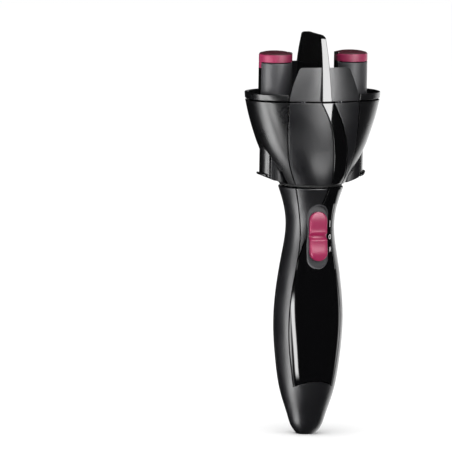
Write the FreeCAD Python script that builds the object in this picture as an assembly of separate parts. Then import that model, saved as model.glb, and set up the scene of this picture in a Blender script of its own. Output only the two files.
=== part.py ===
"""Automatic hair braider: a handle, a rotor head, and two hair tubes that spin and clip.

Frame: +Z runs up the long axis from the handle's end flat, the switch faces -Y, +X is to its right.
The right-hand tube is modelled and the left one is the same assembly half a turn round the axis.
Millimetres throughout.
"""
import FreeCAD, Part
import math
import os
from FreeCAD import Vector as V

os.makedirs("parts", exist_ok=True)

# ---- handle ----
HANDLE_HALF_WIDTH = 22.7       # at the belly
HANDLE_WALL = 2.4              # both half shells
PANEL_DEPTH = 1.1              # inlaid panels on the front shell
PARTING = 0.3                  # visible joint line between two mouldings
# share of the length, share of the belly's half width, depth over width
HANDLE_FORM = [
    (0.000, 0.270, 0.92),
    (0.020, 0.385, 0.92),
    (0.070, 0.535, 0.91),
    (0.160, 0.745, 0.90),
    (0.290, 0.915, 0.89),
    (0.450, 1.000, 0.89),
    (0.590, 0.940, 0.91),
    (0.720, 0.800, 0.95),
    (0.845, 0.692, 0.999),
    (0.925, 0.768, 0.999),
    (1.000, 0.934, 0.999),
]

# ---- head ----
HEAD_GAP = 0.8                 # dark groove between handle and head
HEAD_HEIGHT = 55.3             # groove to the belt, where petals and crown part
BELT_ROOM = 5.2                # gear tips to the belt's widest outside
BELT_HALF_DEPTH = 26.4
BELT_GROOVE = 0.9              # open line between the petals and the crown
HEAD_FLOOR = 1.4
FLOOR_INSET = 1.2              # the floor disc stands back from the petals, which leaves a dark ring
HEAD_WALL = 2.0
INLAY_DEPTH = 1.0
CORE_GAP = 0.2                 # core block to the inside of the petals
RIM_HEIGHT = 5.0               # ring round each cup, above the belt
RIM_FLARE = 0.5
CROWN_PLATE = 2.5
CROWN_PLATE_DROP = 4.0         # its underside, below the belt
SPIGOT_LAP = 1.4               # locating ribs reach this far above the belt
CUP_STEP = 2.2                 # height of the step inside each cup
SHIELD_HEIGHT = 22.4
SHIELD_HALF_BASE = 24.0
SHIELD_HALF_TOP = 17.0
SHIELD_LEAN = 2.2              # how far its top leans in
SHIELD_NARROWING = 5.0         # its plan curve tightens this much towards the top
SHIELD_CORNER = 3.0
SHIELD_BULGE = 0.5             # its sides bow out
SHIELD_FOOT = 1.6
FIN_HEIGHT = 42.4
FIN_HALF_DEPTH = 29.0
FIN_HALF_BASE = 3.3            # half thickness at the belt
FIN_HALF_TOP = 2.1
# the fin's front edge and the front half of its crest: share of its half depth, share of its height
FIN_EDGE = [(1.0, 0.0), (0.922, 0.33), (0.825, 0.64), (0.72, 0.85), (0.672, 0.93)]
FIN_CREST = [(0.655, 0.958), (0.60, 0.980), (0.30, 1.001)]
# share of the height from the groove to the belt, share of the growth in width and in depth, plan power
HEAD_FORM = [
    (0.00, 0.000, 0.00, 2.0),
    (0.12, 0.170, 0.27, 2.1),
    (0.25, 0.345, 0.50, 2.2),
    (0.45, 0.585, 0.69, 2.3),
    (0.62, 0.742, 0.82, 2.3),
    (0.80, 0.882, 0.92, 2.3),
    (1.00, 1.000, 1.00, 2.3),
]
# seam of the front petal: share of the head's height, share of its half width at the belt
PETAL_SEAM = [(0.0, 0.625), (0.26, 0.865), (0.52, 0.965), (1.0, 1.0)]
# gloss sweep on the petal, left and right border, same shares
SWEEP_LEFT = [(1.0, -0.125), (0.78, 0.13), (0.58, 0.245), (0.38, 0.295), (0.0, 0.292)]
SWEEP_RIGHT = [(1.0, 0.235), (0.63, 0.60), (0.41, 0.70), (0.18, 0.72), (0.0, 0.72)]

# ---- hair tubes ----
TUBE_R = 10.8                  # above the cups
TAIL_R = 9.2                   # below them, and in the lower bearing
TAIL_WALL = 1.0
COLLAR_R = 10.0                # seat of the ring gear
TUBE_RISE = 31.4               # belt to the top of a tube
CAP_HEIGHT = 7.0
CAP_SHOULDER = 1.7             # the dome starts this far below the top
STRIP_DROP = 1.2               # top of the fixed jaw below the top of the cap
CAP_SKIRT = 4.0                # the cap's tongue down the outer side
PANEL_WALL = 0.8               # satin panels over the jaw
JAW_WALL = 0.7
STRIP_HALF_WIDTH = 3.7         # fixed jaw, on the inner side
STRIP_DEPTH = 3.3
JAW_CLEARANCE = 0.2
OUTER_RIB_HALF = 2.2
TAIL_SLOT_HALF = 8.0
FINGER_LIP = 1.8
LIP_THICKNESS = 1.5
LIP_SLOPE = 21.0               # degrees
TAIL_END_GAP = 2.5             # lowest flat of a tube above the handle's ring
LIP_RISE = 5.7                 # outermost point of the slanted lip above that flat
PIVOT_INSET = 3.2              # pivot pin, outward of the tube axis
PIVOT_RISE = 3.5               # above the lower bearing plate
PIVOT_PIN_R = 1.0
NECK_HALF_WIDTH = 4.0          # lever neck through the bore
NECK_HALF_DEPTH = 2.0
WEB_HEIGHT = 10.0              # ties the finger tail to the lever's neck
JAW_WIRE_R = 0.3               # torsion spring on the pivot pin
JAW_SPRING_TURNS = 3
JAW_SPRING_LEG = 5.0
RUNNING_FIT = 0.05
CHANNEL_GAP = 0.7              # head moulding round a turning tail

# ---- drive ----
GEAR_MODULE = 0.8
GEAR_TEETH = 32                # sun and both ring gears
GEAR_WIDTH = 4.5
GEAR_HEADROOM = 1.0            # gears to the crown plate
GEAR_BACKLASH = 0.12
SHAFT_R = 2.0
BEARING_PLATE = 4.3            # lower tube bearings
BEARING_DROP = 18.4            # top of their plate below the belt
BUSH_R = 3.5
BUSH_LENGTH = 5.0
HUB_R = 9.0
HUB_LENGTH = 11.2
HUB_BUSH_WALL = 2.0
HUB_BUSH_LENGTH = 3.6
MOTOR_R = 10.05
MOTOR_HALF_FLAT = 7.55
MOTOR_LENGTH = 25.0
MOTOR_NOSE_R = 3.0
MOTOR_NOSE = 1.6
MOTOR_GAP = 4.0                # battery bay to motor
GEARBOX_R = 9.6
GEARBOX_LENGTH = 23.5
GEARBOX_FLANGE_R = 12.4
GEARBOX_FLANGE = 2.0
GEARBOX_SPIGOT_R = 6.0
GEARBOX_SPIGOT = 3.5
NECK_ROOM = 11.5               # gearbox to the end of the handle: clutch and neck bearing
BULKHEAD = 8.0                 # its depth below the handle's upper end

# ---- switch ----
SWITCH_BELOW_NECK = 31.3       # upper end of the handle to the middle of its travel
SWITCH_LENGTH = 40.2
SWITCH_WIDTH = 12.6
SWITCH_TILT = 2.6              # degrees, follows the neck
TRAY_FLOOR = 15.1              # floor's depth from the axis, at the middle
TRAY_WALL = 0.8
TRAY_FIT = 0.1                 # tray to the opening in the shell
SLIDER_LENGTH = 31.5
SLIDER_WIDTH = 11.8
SLIDER_PROUD = 2.5             # upper pad above the tray's floor
SLIDER_STEP = 0.7              # lower pad stands this much prouder
SLIDER_CROWN = 0.85            # rise of a pad from its end to its middle
SLIDER_WAIST = 1.5             # dip between the two pads
SLIDER_TRAVEL = 4.0            # each way
STEM_WIDTH = 3.0
STEM_REACH = 1.6               # into the micro switch
SLIDER_GAP = 0.2
MICRO_SWITCH_WIDTH = 9.0
MICRO_SWITCH_LENGTH = 22.0
MICRO_SWITCH_DEPTH = 3.2

# ---- battery bay ----
CELL_R = 7.15
CELL_LENGTH = 49.2
CELL_NUB = 1.3
CELL_SPACING = 15.2
CELL_BACK = 1.2                # cells sit this far behind the axis
CELL_FIT = 0.25
NUB_R = 2.6
BAY_BOTTOM = 37.0
BAY_WALL = 2.0
SPRING_ROOM = 3.2              # contact room at the spring end of a cell
PLATE_ROOM = 2.3
PLATE_THICKNESS = 0.4
PLATE_HALF = 4.5
BAY_FRONT = 7.4
SPRING_WIRE_R = 0.35
SPRING_R = 3.2
SPRING_TURNS = 3
DOOR_HALF_WIDTH = 14.0
DOOR_BELOW_BAY = 1.0
DOOR_ABOVE_BAY = 2.0
DOOR_CORNER = 4.0
NOTCH_R = 9.0                  # finger notch
NOTCH_DEPTH = 1.3
NOTCH_RISE = 5.0               # its middle above the door's lower edge
HOOK_WIDTH = 4.0
HOOK_REACH = 2.5
HOOK_THICKNESS = 1.4

# ---- screws ----
SCREW_R = 1.1
SCREW_HEAD_R = 2.1
SCREW_HEAD = 1.6
BOSS_WALL = 1.4
SCREW_FIT = 0.1
DRIVE_SLOT = 0.5               # width of the cross recess
DRIVE_LENGTH = 2.4
DRIVE_DEPTH = 0.6
HEAD_SCREW_X = 12.5
HEAD_SCREW_Y = 18.3
HEAD_POST_R = 2.8
HEAD_SCREW_BITE = 7.0

BAY_LENGTH = CELL_LENGTH + CELL_NUB + 2 * BAY_WALL + SPRING_ROOM + PLATE_ROOM
MOTOR_BOTTOM = BAY_BOTTOM + BAY_LENGTH + MOTOR_GAP
HANDLE_LENGTH = MOTOR_BOTTOM + MOTOR_LENGTH + GEARBOX_LENGTH + NECK_ROOM
SWITCH_HEIGHT = HANDLE_LENGTH - SWITCH_BELOW_NECK
DOOR_BOTTOM = BAY_BOTTOM - DOOR_BELOW_BAY
DOOR_TOP = BAY_BOTTOM + BAY_LENGTH + DOOR_ABOVE_BAY
HEAD_BASE = HANDLE_LENGTH + HEAD_GAP
BELT_HEIGHT = HEAD_BASE + HEAD_HEIGHT
CROWN_BASE = BELT_HEIGHT + BELT_GROOVE - PARTING / 2
TUBE_OFFSET = GEAR_MODULE * GEAR_TEETH
BELT_HALF_WIDTH = TUBE_OFFSET + GEAR_MODULE * (GEAR_TEETH / 2 + 1) + BELT_ROOM
TUBE_TOP = BELT_HEIGHT + TUBE_RISE
BEARING_PLATE_TOP = BELT_HEIGHT - BEARING_DROP
PIVOT_HEIGHT = BEARING_PLATE_TOP + PIVOT_RISE
TAIL_END = HANDLE_LENGTH + TAIL_END_GAP
NECK_R = HANDLE_HALF_WIDTH * HANDLE_FORM[-1][1]
CROWN_BOTTOM = BELT_HEIGHT - CROWN_PLATE_DROP
CROWN_TOP = CROWN_BOTTOM + CROWN_PLATE
GEAR_BOTTOM = CROWN_BOTTOM - GEAR_HEADROOM - GEAR_WIDTH
BIG = 400.0                    # reach of a cutting block
OVAL_POINTS = 12               # a plan curve is interpolated through this many
COIL_STEPS = 12                # straight runs in one turn of a spring
WIRE_SIDES = 6


def box(x0, x1, y0, y1, z0, z1):
    return Part.makeBox(x1 - x0, y1 - y0, z1 - z0, V(x0, y0, z0))


def slab(z0, z1):
    return box(-BIG, BIG, -BIG, BIG, z0, z1)


def rod(r, z0, z1, x=0.0, y=0.0):
    return Part.makeCylinder(r, z1 - z0, V(x, y, z0))


def ring(r_out, r_in, z0, z1, x=0.0, y=0.0):
    return rod(r_out, z0, z1, x, y).cut(rod(r_in, z0 - 1, z1 + 1, x, y))


def cross_pin(r, y0, y1, x, z):
    return Part.makeCylinder(r, y1 - y0, V(x, y0, z), V(0, 1, 0))


def fuse(first, *others):
    return first.multiFuse(list(others))


def half_turn(shape):
    turned = shape.copy()
    turned.rotate(V(0, 0, 0), V(0, 0, 1), 180)
    return turned


def coil_points(radius, rise, turns):
    points = []
    for i in range(COIL_STEPS * turns + 1):
        t = 2 * math.pi * i / COIL_STEPS
        points.append(V(radius * math.cos(t), radius * math.sin(t), rise * i / (COIL_STEPS * turns)))
    return points


def bent_wire(points, r):
    """Spring wire swept along straight runs, mitred where they meet."""
    along = (points[1] - points[0]).normalize()
    side = along.cross(V(0, 0, 1)).normalize()
    up = side.cross(along)
    section = []
    for i in range(WIRE_SIDES):
        t = 2 * math.pi * i / WIRE_SIDES
        section.append(points[0] + side * (r * math.cos(t)) + up * (r * math.sin(t)))
    outline = Part.makePolygon(section + section[:1])
    return Part.makePolygon(points).makePipeShell([outline], True, False, 1)


def save(name, shape):
    shape.exportStep("parts/%s.step" % name)


# ---------------------------------------------------------------- outer forms
def oval(half_width, half_depth, power, z):
    """Closed plan curve |x/a|^n + |y/b|^n = 1 at height z."""
    points = []
    for i in range(OVAL_POINTS):
        t = 2 * math.pi * i / OVAL_POINTS
        c, s = math.cos(t), math.sin(t)
        x = half_width * math.copysign(abs(c) ** (2 / power), c)
        y = half_depth * math.copysign(abs(s) ** (2 / power), s)
        points.append(V(x, y, z))
    curve = Part.BSplineCurve()
    curve.interpolate(points, PeriodicFlag=True)
    return Part.Wire([curve.toShape()])


def handle_form(inset):
    """Solid of the whole handle, drawn in by a wall."""
    sections = []
    for height, width, depth in HANDLE_FORM:
        half = HANDLE_HALF_WIDTH * width
        sections.append(oval(half - inset, half * depth - inset, 2.0, HANDLE_LENGTH * height))
    return Part.makeLoft(sections, True)


def head_form(inset):
    """Solid of the tulip from the groove to the belt, drawn in by a wall."""
    sections = []
    for height, width, depth, power in HEAD_FORM:
        a = NECK_R + (BELT_HALF_WIDTH - NECK_R) * width
        b = NECK_R + (BELT_HALF_DEPTH - NECK_R) * depth
        z = HEAD_BASE + (BELT_HEIGHT - HEAD_BASE) * height
        sections.append(oval(a - inset, b - inset, power, z))
    return Part.makeLoft(sections, True)


def crown_form(inset, height, flare, lean):
    """Solid above the belt: flares to a rim or leans in to a shield."""
    steps = (0.0, 0.5, 1.0)
    sections = []
    for share in steps:
        a = BELT_HALF_WIDTH + flare * share - inset
        b = BELT_HALF_DEPTH - lean * share * (0.6 + 0.4 * share) - inset
        sections.append(oval(a, b, HEAD_FORM[-1][3], BELT_HEIGHT + height * share))
    return Part.makeLoft(sections, True)


def spline(points):
    curve = Part.BSplineCurve()
    curve.interpolate(points)
    return curve.toShape()


def prism(edges, y0, y1):
    """Solid swept along Y from a closed outline drawn in the XZ plane."""
    face = Part.Face(Part.Wire(edges))
    face.translate(V(0, y0, 0))
    return face.extrude(V(0, y1 - y0, 0))


def mix(low, high, share):
    return low + (high - low) * share


def head_height(share):
    return mix(HEAD_BASE, BELT_HEIGHT, share)


def petal_outline(grow):
    """Front view of a petal between its two seams, from the groove to the belt."""
    right = [V(SHIELD_HALF_BASE * w + grow, 0, head_height(h)) for h, w in PETAL_SEAM]
    left = [V(-p.x, 0, p.z) for p in right]
    return [spline(right), Part.makeLine(right[-1], left[-1]), spline(left), Part.makeLine(left[0], right[0])]


def sweep_outline(grow):
    """Front view of the gloss sweep that carries the fin's line down the petal."""
    left = [V(SHIELD_HALF_BASE * w - grow, 0, head_height(h)) for h, w in SWEEP_LEFT]
    right = [V(SHIELD_HALF_BASE * w + grow, 0, head_height(h)) for h, w in SWEEP_RIGHT]
    return [spline(left), Part.makeLine(left[-1], right[-1]), spline(right), Part.makeLine(right[0], left[0])]


# ---------------------------------------------------------------- handle
# front panel: share of the handle's length, share of the belly's half width
PANEL_SEAM = [(0.197, 0.575), (0.42, 0.765), (0.63, 0.648), (0.81, 0.465), (0.985, 0.645), (1.0, 0.675)]
PANEL_ARCH = 4.0
NECK_SWEEP = [(1.0, 0.21), (0.933, 0.07), (0.80, -0.33), (0.705, -0.56), (0.66, -0.70)]


def panel_outline(grow):
    right = [V(HANDLE_HALF_WIDTH * w + grow, 0, HANDLE_LENGTH * h) for h, w in PANEL_SEAM]
    right[0].z -= grow
    left = [V(-p.x, 0, p.z) for p in right]
    arch = Part.Arc(left[0], V(0, 0, right[0].z + PANEL_ARCH), right[0]).toShape()
    return [spline(right), Part.makeLine(right[-1], left[-1]), spline(left), arch]


def neck_sweep_outline(grow):
    """Everything left of the sweep that crosses the neck from upper right to lower left."""
    border = [V(HANDLE_HALF_WIDTH * w - grow, 0, HANDLE_LENGTH * h) for h, w in NECK_SWEEP]
    far_top = V(-BIG, 0, border[0].z)
    far_bottom = V(-BIG, 0, border[-1].z)
    return [spline(border), Part.makeLine(border[-1], far_bottom), Part.makeLine(far_bottom, far_top),
            Part.makeLine(far_top, border[0])]


def stadium(width, length, y0, y1, z_mid=SWITCH_HEIGHT):
    """Rounded slot seen from the front, cut along Y."""
    r = width / 2
    z0, z1 = z_mid - length / 2 + r, z_mid + length / 2 - r
    edges = [
        Part.makeLine(V(r, 0, z0), V(r, 0, z1)),
        Part.Arc(V(r, 0, z1), V(0, 0, z1 + r), V(-r, 0, z1)).toShape(),
        Part.makeLine(V(-r, 0, z1), V(-r, 0, z0)),
        Part.Arc(V(-r, 0, z0), V(0, 0, z0 - r), V(r, 0, z0)).toShape(),
    ]
    return prism(edges, y0, y1)


def behind_tray(depth):
    """Half space behind the tilted switch plane, depth behind its floor."""
    block = box(-BIG, BIG, -TRAY_FLOOR + depth, BIG, SWITCH_HEIGHT - BIG, SWITCH_HEIGHT + BIG)
    block.rotate(V(0, -TRAY_FLOOR, SWITCH_HEIGHT), V(-1, 0, 0), SWITCH_TILT)
    return block


def door_outline(grow):
    half = DOOR_HALF_WIDTH + grow
    z0, z1 = DOOR_BOTTOM - grow, DOOR_TOP + grow
    r = DOOR_CORNER
    corners = [V(half, 0, z1), V(-half, 0, z1), V(-half, 0, z0 + r), V(-half + r, 0, z0),
               V(half - r, 0, z0), V(half, 0, z0 + r)]
    k = r * (1 - math.sqrt(0.5))
    return [
        Part.makeLine(corners[0], corners[1]),
        Part.makeLine(corners[1], corners[2]),
        Part.Arc(corners[2], V(-half + k, 0, z0 + k), corners[3]).toShape(),
        Part.makeLine(corners[3], corners[4]),
        Part.Arc(corners[4], V(half - k, 0, z0 + k), corners[5]).toShape(),
        Part.makeLine(corners[5], corners[0]),
    ]


SCREW_PLACES = [(14.2, 107.5), (-14.2, 107.5), (0.0, 21.0)]
SCREW_SEAT = 5.0               # head's underside behind the parting plane
SCREW_BITE = 6.0               # thread in the front boss


def handle_shells(outer, inner):
    """Front and back half shells with the screw bosses inside them."""
    inside = handle_form(HANDLE_WALL - 0.1)
    hollow = outer.cut(inner)
    front = hollow.common(box(-BIG, BIG, -BIG, 0, -1, HANDLE_LENGTH))
    back = hollow.common(box(-BIG, BIG, 0, BIG, -1, HANDLE_LENGTH))
    front_bosses = []
    back_bosses = []
    boss_r = SCREW_HEAD_R + SCREW_FIT + BOSS_WALL
    for x, z in SCREW_PLACES:
        front_bosses.append(cross_pin(SCREW_R + BOSS_WALL, -BIG, 0, x, z).common(inside))
        back_bosses.append(cross_pin(boss_r, 0, BIG, x, z).common(inside))
    front = fuse(front, *front_bosses)
    back = fuse(back, *back_bosses)
    for x, z in SCREW_PLACES:
        front = front.cut(cross_pin(SCREW_R, -SCREW_BITE - SCREW_FIT, 1, x, z))
        back = back.cut(cross_pin(SCREW_R + SCREW_FIT, -1, BIG, x, z))
        back = back.cut(cross_pin(SCREW_HEAD_R + SCREW_FIT, SCREW_SEAT, BIG, x, z))
    return front, back


def screw(x, z):
    shank = cross_pin(SCREW_R, -SCREW_BITE, SCREW_SEAT, x, z)
    head = cross_pin(SCREW_HEAD_R, SCREW_SEAT, SCREW_SEAT + SCREW_HEAD, x, z)
    floor = SCREW_SEAT + SCREW_HEAD - DRIVE_DEPTH
    wide, thin = DRIVE_LENGTH / 2, DRIVE_SLOT / 2
    slot = box(x - wide, x + wide, floor, BIG, z - thin, z + thin)
    cross = box(x - thin, x + thin, floor, BIG, z - wide, z + wide)
    return fuse(shank, head).cut(slot).cut(cross)


def build_handle():
    outer = handle_form(0)
    inner = handle_form(HANDLE_WALL).common(slab(HANDLE_WALL, BIG))
    under_panel = handle_form(PANEL_DEPTH)
    front, back = handle_shells(outer, inner)

    panel_slot = prism(panel_outline(0), -BIG, 0)
    rim = 2 * (TRAY_WALL + TRAY_FIT)
    switch_hole = stadium(SWITCH_WIDTH + rim, SWITCH_LENGTH + rim, -BIG, 0)
    front = front.cut(panel_slot.cut(under_panel)).cut(switch_hole)
    save("handle_front_shell", front)

    panel_skin = outer.cut(under_panel).common(prism(panel_outline(-PARTING / 2), -BIG, 0)).cut(switch_hole)
    save("front_panel", panel_skin.cut(prism(neck_sweep_outline(-PARTING / 2), -BIG, 0)))
    save("neck_panel", panel_skin.common(prism(neck_sweep_outline(PARTING / 2), -BIG, 0)))

    door_hole = prism(door_outline(PARTING), 0, BIG)
    save("handle_back_shell", back.cut(door_hole))
    save("battery_door", battery_door(outer, inner))
    save("handle_screws", Part.makeCompound([screw(x, z) for x, z in SCREW_PLACES]))


def battery_door(outer, inner):
    """Cover over the cells: two hooks under the shell's edge and a finger notch."""
    door = outer.cut(inner).common(prism(door_outline(0), 0, BIG))
    top = DOOR_TOP
    hook_zone = handle_form(HANDLE_WALL + PARTING).cut(handle_form(HANDLE_WALL + PARTING + HOOK_THICKNESS))
    root_zone = handle_form(HANDLE_WALL - 0.2).cut(handle_form(HANDLE_WALL + PARTING + HOOK_THICKNESS))
    pieces = []
    for side in (-1, 1):
        x = side * DOOR_HALF_WIDTH * 0.55
        span = box(x - HOOK_WIDTH / 2, x + HOOK_WIDTH / 2, 0, BIG, top - 5, top + HOOK_REACH)
        pieces.append(hook_zone.common(span))
        pieces.append(root_zone.common(span).common(slab(top - 5, top - 0.5)))
    notch_z = DOOR_BOTTOM + NOTCH_RISE
    surface = outer.common(Part.makeLine(V(0, 0, notch_z), V(0, BIG, notch_z))).BoundBox.YMax
    notch = Part.makeSphere(NOTCH_R, V(0, surface + NOTCH_R - NOTCH_DEPTH, notch_z))
    return fuse(door, *pieces).cut(notch)


def build_switch():
    outer = handle_form(0.15)
    well = stadium(SWITCH_WIDTH, SWITCH_LENGTH, -BIG, 0)
    shell = stadium(SWITCH_WIDTH + 2 * TRAY_WALL, SWITCH_LENGTH + 2 * TRAY_WALL, -BIG, 0).common(outer)
    tray = shell.cut(behind_tray(TRAY_WALL)).cut(well.cut(behind_tray(0)))
    half = STEM_WIDTH / 2
    slot_half = SLIDER_TRAVEL + half + SLIDER_GAP
    tray = tray.cut(box(-half - SLIDER_GAP, half + SLIDER_GAP, -BIG, 0, SWITCH_HEIGHT - slot_half,
                        SWITCH_HEIGHT + slot_half))
    save("switch_tray", tray)

    # slider and micro switch are drawn square to Y, then tipped with the tray's floor
    hinge_point = V(0, -TRAY_FLOOR, SWITCH_HEIGHT)
    z0, z1 = SWITCH_HEIGHT - SLIDER_LENGTH / 2, SWITCH_HEIGHT + SLIDER_LENGTH / 2
    base = -TRAY_FLOOR - SLIDER_GAP
    upper = -TRAY_FLOOR - SLIDER_PROUD
    lower = upper - SLIDER_STEP
    low_end, waist, high_end = V(0, lower, z0), V(0, upper + SLIDER_WAIST, SWITCH_HEIGHT), V(0, upper, z1)
    profile = [
        spline([low_end, V(0, lower - SLIDER_CROWN, z0 + 4), V(0, lower - SLIDER_CROWN / 2, SWITCH_HEIGHT - 5),
                waist]),
        spline([waist, V(0, upper - SLIDER_CROWN / 3, SWITCH_HEIGHT + 4), V(0, upper - SLIDER_CROWN / 2, z1 - 6),
                high_end]),
        Part.makeLine(high_end, V(0, base, z1)),
        Part.makeLine(V(0, base, z1), V(0, base, z0)),
        Part.makeLine(V(0, base, z0), low_end),
    ]
    side = Part.Face(Part.Wire(profile))
    side.translate(V(-SLIDER_WIDTH, 0, 0))
    pad = side.extrude(V(2 * SLIDER_WIDTH, 0, 0)).common(stadium(SLIDER_WIDTH, SLIDER_LENGTH, -BIG, 0))
    stem_tip = -TRAY_FLOOR + TRAY_WALL + STEM_REACH
    stem = box(-half, half, base - 0.5, stem_tip, SWITCH_HEIGHT - half, SWITCH_HEIGHT + half)
    slider = fuse(pad, stem)
    slider.rotate(hinge_point, V(-1, 0, 0), SWITCH_TILT)
    save("switch_slider", slider)

    back = -TRAY_FLOOR + TRAY_WALL + TRAY_FIT
    body = box(-MICRO_SWITCH_WIDTH / 2, MICRO_SWITCH_WIDTH / 2, back, back + MICRO_SWITCH_DEPTH,
               SWITCH_HEIGHT - MICRO_SWITCH_LENGTH / 2, SWITCH_HEIGHT + MICRO_SWITCH_LENGTH / 2)
    groove = box(-half - SLIDER_GAP, half + SLIDER_GAP, back - 1, stem_tip + SLIDER_GAP,
                 SWITCH_HEIGHT - slot_half, SWITCH_HEIGHT + slot_half)
    body = body.cut(groove)
    body.rotate(hinge_point, V(-1, 0, 0), SWITCH_TILT)
    save("slide_switch", body)


def build_motor():
    top = MOTOR_BOTTOM + MOTOR_LENGTH
    flats = box(-BIG, BIG, -MOTOR_HALF_FLAT, MOTOR_HALF_FLAT, 0, BIG)
    can = rod(MOTOR_R, MOTOR_BOTTOM, top).common(flats)
    end_cap = rod(MOTOR_NOSE_R, MOTOR_BOTTOM - MOTOR_NOSE, MOTOR_BOTTOM)
    tags = [box(x - 0.3, x + 0.3, -1.2, 1.2, MOTOR_BOTTOM - MOTOR_NOSE, MOTOR_BOTTOM + 0.5)
            for x in (-0.7 * MOTOR_R, 0.7 * MOTOR_R)]
    save("motor", fuse(can, end_cap, *tags))

    flange_z = top + GEARBOX_LENGTH - GEARBOX_FLANGE - GEARBOX_SPIGOT
    case = fuse(
        rod(GEARBOX_R, top, flange_z + GEARBOX_FLANGE),
        rod(GEARBOX_FLANGE_R, flange_z, flange_z + GEARBOX_FLANGE),
        rod(GEARBOX_SPIGOT_R, flange_z, top + GEARBOX_LENGTH),
    ).cut(rod(SHAFT_R + RUNNING_FIT, flange_z - 2, BIG))
    save("gearbox", case)

    # bulkhead that ties the gearbox, the head's bearings and the two half shells together
    skirt_bottom = flange_z + GEARBOX_FLANGE
    bulk_bottom = HANDLE_LENGTH - BULKHEAD
    fit = handle_form(HANDLE_WALL + 0.1).common(slab(bulk_bottom, HANDLE_LENGTH - 0.4))
    tray_room = 2 * (TRAY_WALL + PARTING)
    tray_back = TRAY_WALL + PARTING - TRAY_FLOOR
    fit = fit.cut(stadium(SWITCH_WIDTH + tray_room, SWITCH_LENGTH + tray_room, -BIG, tray_back))
    skirt = ring(GEARBOX_FLANGE_R, HUB_R + HUB_BUSH_WALL + 0.6, skirt_bottom, bulk_bottom)
    bulkhead = fuse(fit.cut(rod(HUB_R + HUB_BUSH_WALL, 0, BIG)), skirt)
    save("neck_bulkhead", bulkhead)
    hub_bottom = HEAD_BASE - HUB_LENGTH
    bush_in = HUB_R + RUNNING_FIT
    save("one_way_clutch", ring(HUB_R + HUB_BUSH_WALL, bush_in, bulk_bottom, bulk_bottom + HUB_BUSH_LENGTH))
    bush_z = bulk_bottom + HUB_BUSH_LENGTH + 0.1
    save("neck_bush", ring(HUB_R + HUB_BUSH_WALL, bush_in, bush_z, HANDLE_LENGTH - 0.4))
    clip_z = bulk_bottom - 1.2
    save("retaining_ring", ring(HUB_R + 1.6, HUB_R - 0.8, clip_z, clip_z + 1.0))
    return hub_bottom, clip_z


def build_battery_bay():
    top = BAY_BOTTOM + BAY_LENGTH
    half = CELL_SPACING / 2 + CELL_R + CELL_FIT
    tray = box(-half, half, -BAY_FRONT, CELL_BACK, BAY_BOTTOM, top)
    tray = tray.common(handle_form(HANDLE_WALL + 0.2))
    cells = []
    cell_z = BAY_BOTTOM + BAY_WALL + SPRING_ROOM
    for side in (-1, 1):
        x = side * CELL_SPACING / 2
        tray = tray.cut(rod(CELL_R + CELL_FIT, BAY_BOTTOM + BAY_WALL, top - BAY_WALL, x, CELL_BACK))
        body = rod(CELL_R, cell_z, cell_z + CELL_LENGTH, x, CELL_BACK)
        nub_z = cell_z + CELL_LENGTH if side < 0 else cell_z - CELL_NUB
        cells.append(fuse(body, rod(NUB_R, nub_z, nub_z + CELL_NUB, x, CELL_BACK)))
    save("battery_tray", tray)
    save("left_cell", cells[0])
    save("right_cell", cells[1])

    plates = []
    springs = []
    low_z, high_z = BAY_BOTTOM + BAY_WALL, top - BAY_WALL
    for side in (-1, 1):
        x = side * CELL_SPACING / 2
        for z in (low_z, high_z - PLATE_THICKNESS):
            plates.append(box(x - PLATE_HALF, x + PLATE_HALF, CELL_BACK - PLATE_HALF, CELL_BACK - 0.1,
                              z, z + PLATE_THICKNESS))
        gap_low = low_z + PLATE_THICKNESS if side < 0 else cell_z + CELL_LENGTH
        gap_high = cell_z if side < 0 else high_z - PLATE_THICKNESS
        height = gap_high - gap_low - 2 * SPRING_WIRE_R - 0.1
        coil = bent_wire(coil_points(SPRING_R, height, SPRING_TURNS), SPRING_WIRE_R)
        coil.translate(V(x, CELL_BACK, gap_low + SPRING_WIRE_R + 0.05))
        springs.append(coil)
    save("contact_plates", Part.makeCompound(plates))
    save("contact_springs", Part.makeCompound(springs))


# ---------------------------------------------------------------- head
def tube_channels(z_high):
    """Space that both turning tails sweep through the head's lower mouldings."""
    lip_r = TAIL_R + FINGER_LIP
    lip_top = TAIL_END + LIP_RISE + LIP_THICKNESS / math.cos(math.radians(LIP_SLOPE)) + CHANNEL_GAP
    cuts = []
    for side in (-1, 1):
        x = side * TUBE_OFFSET
        narrow = rod(TAIL_R + CHANNEL_GAP, lip_top - 1, z_high, x)
        wide = rod(lip_r + CHANNEL_GAP, HANDLE_LENGTH - 5, lip_top, x)
        cuts.append(narrow.fuse(wide))
    return Part.makeCompound(cuts)


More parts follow.
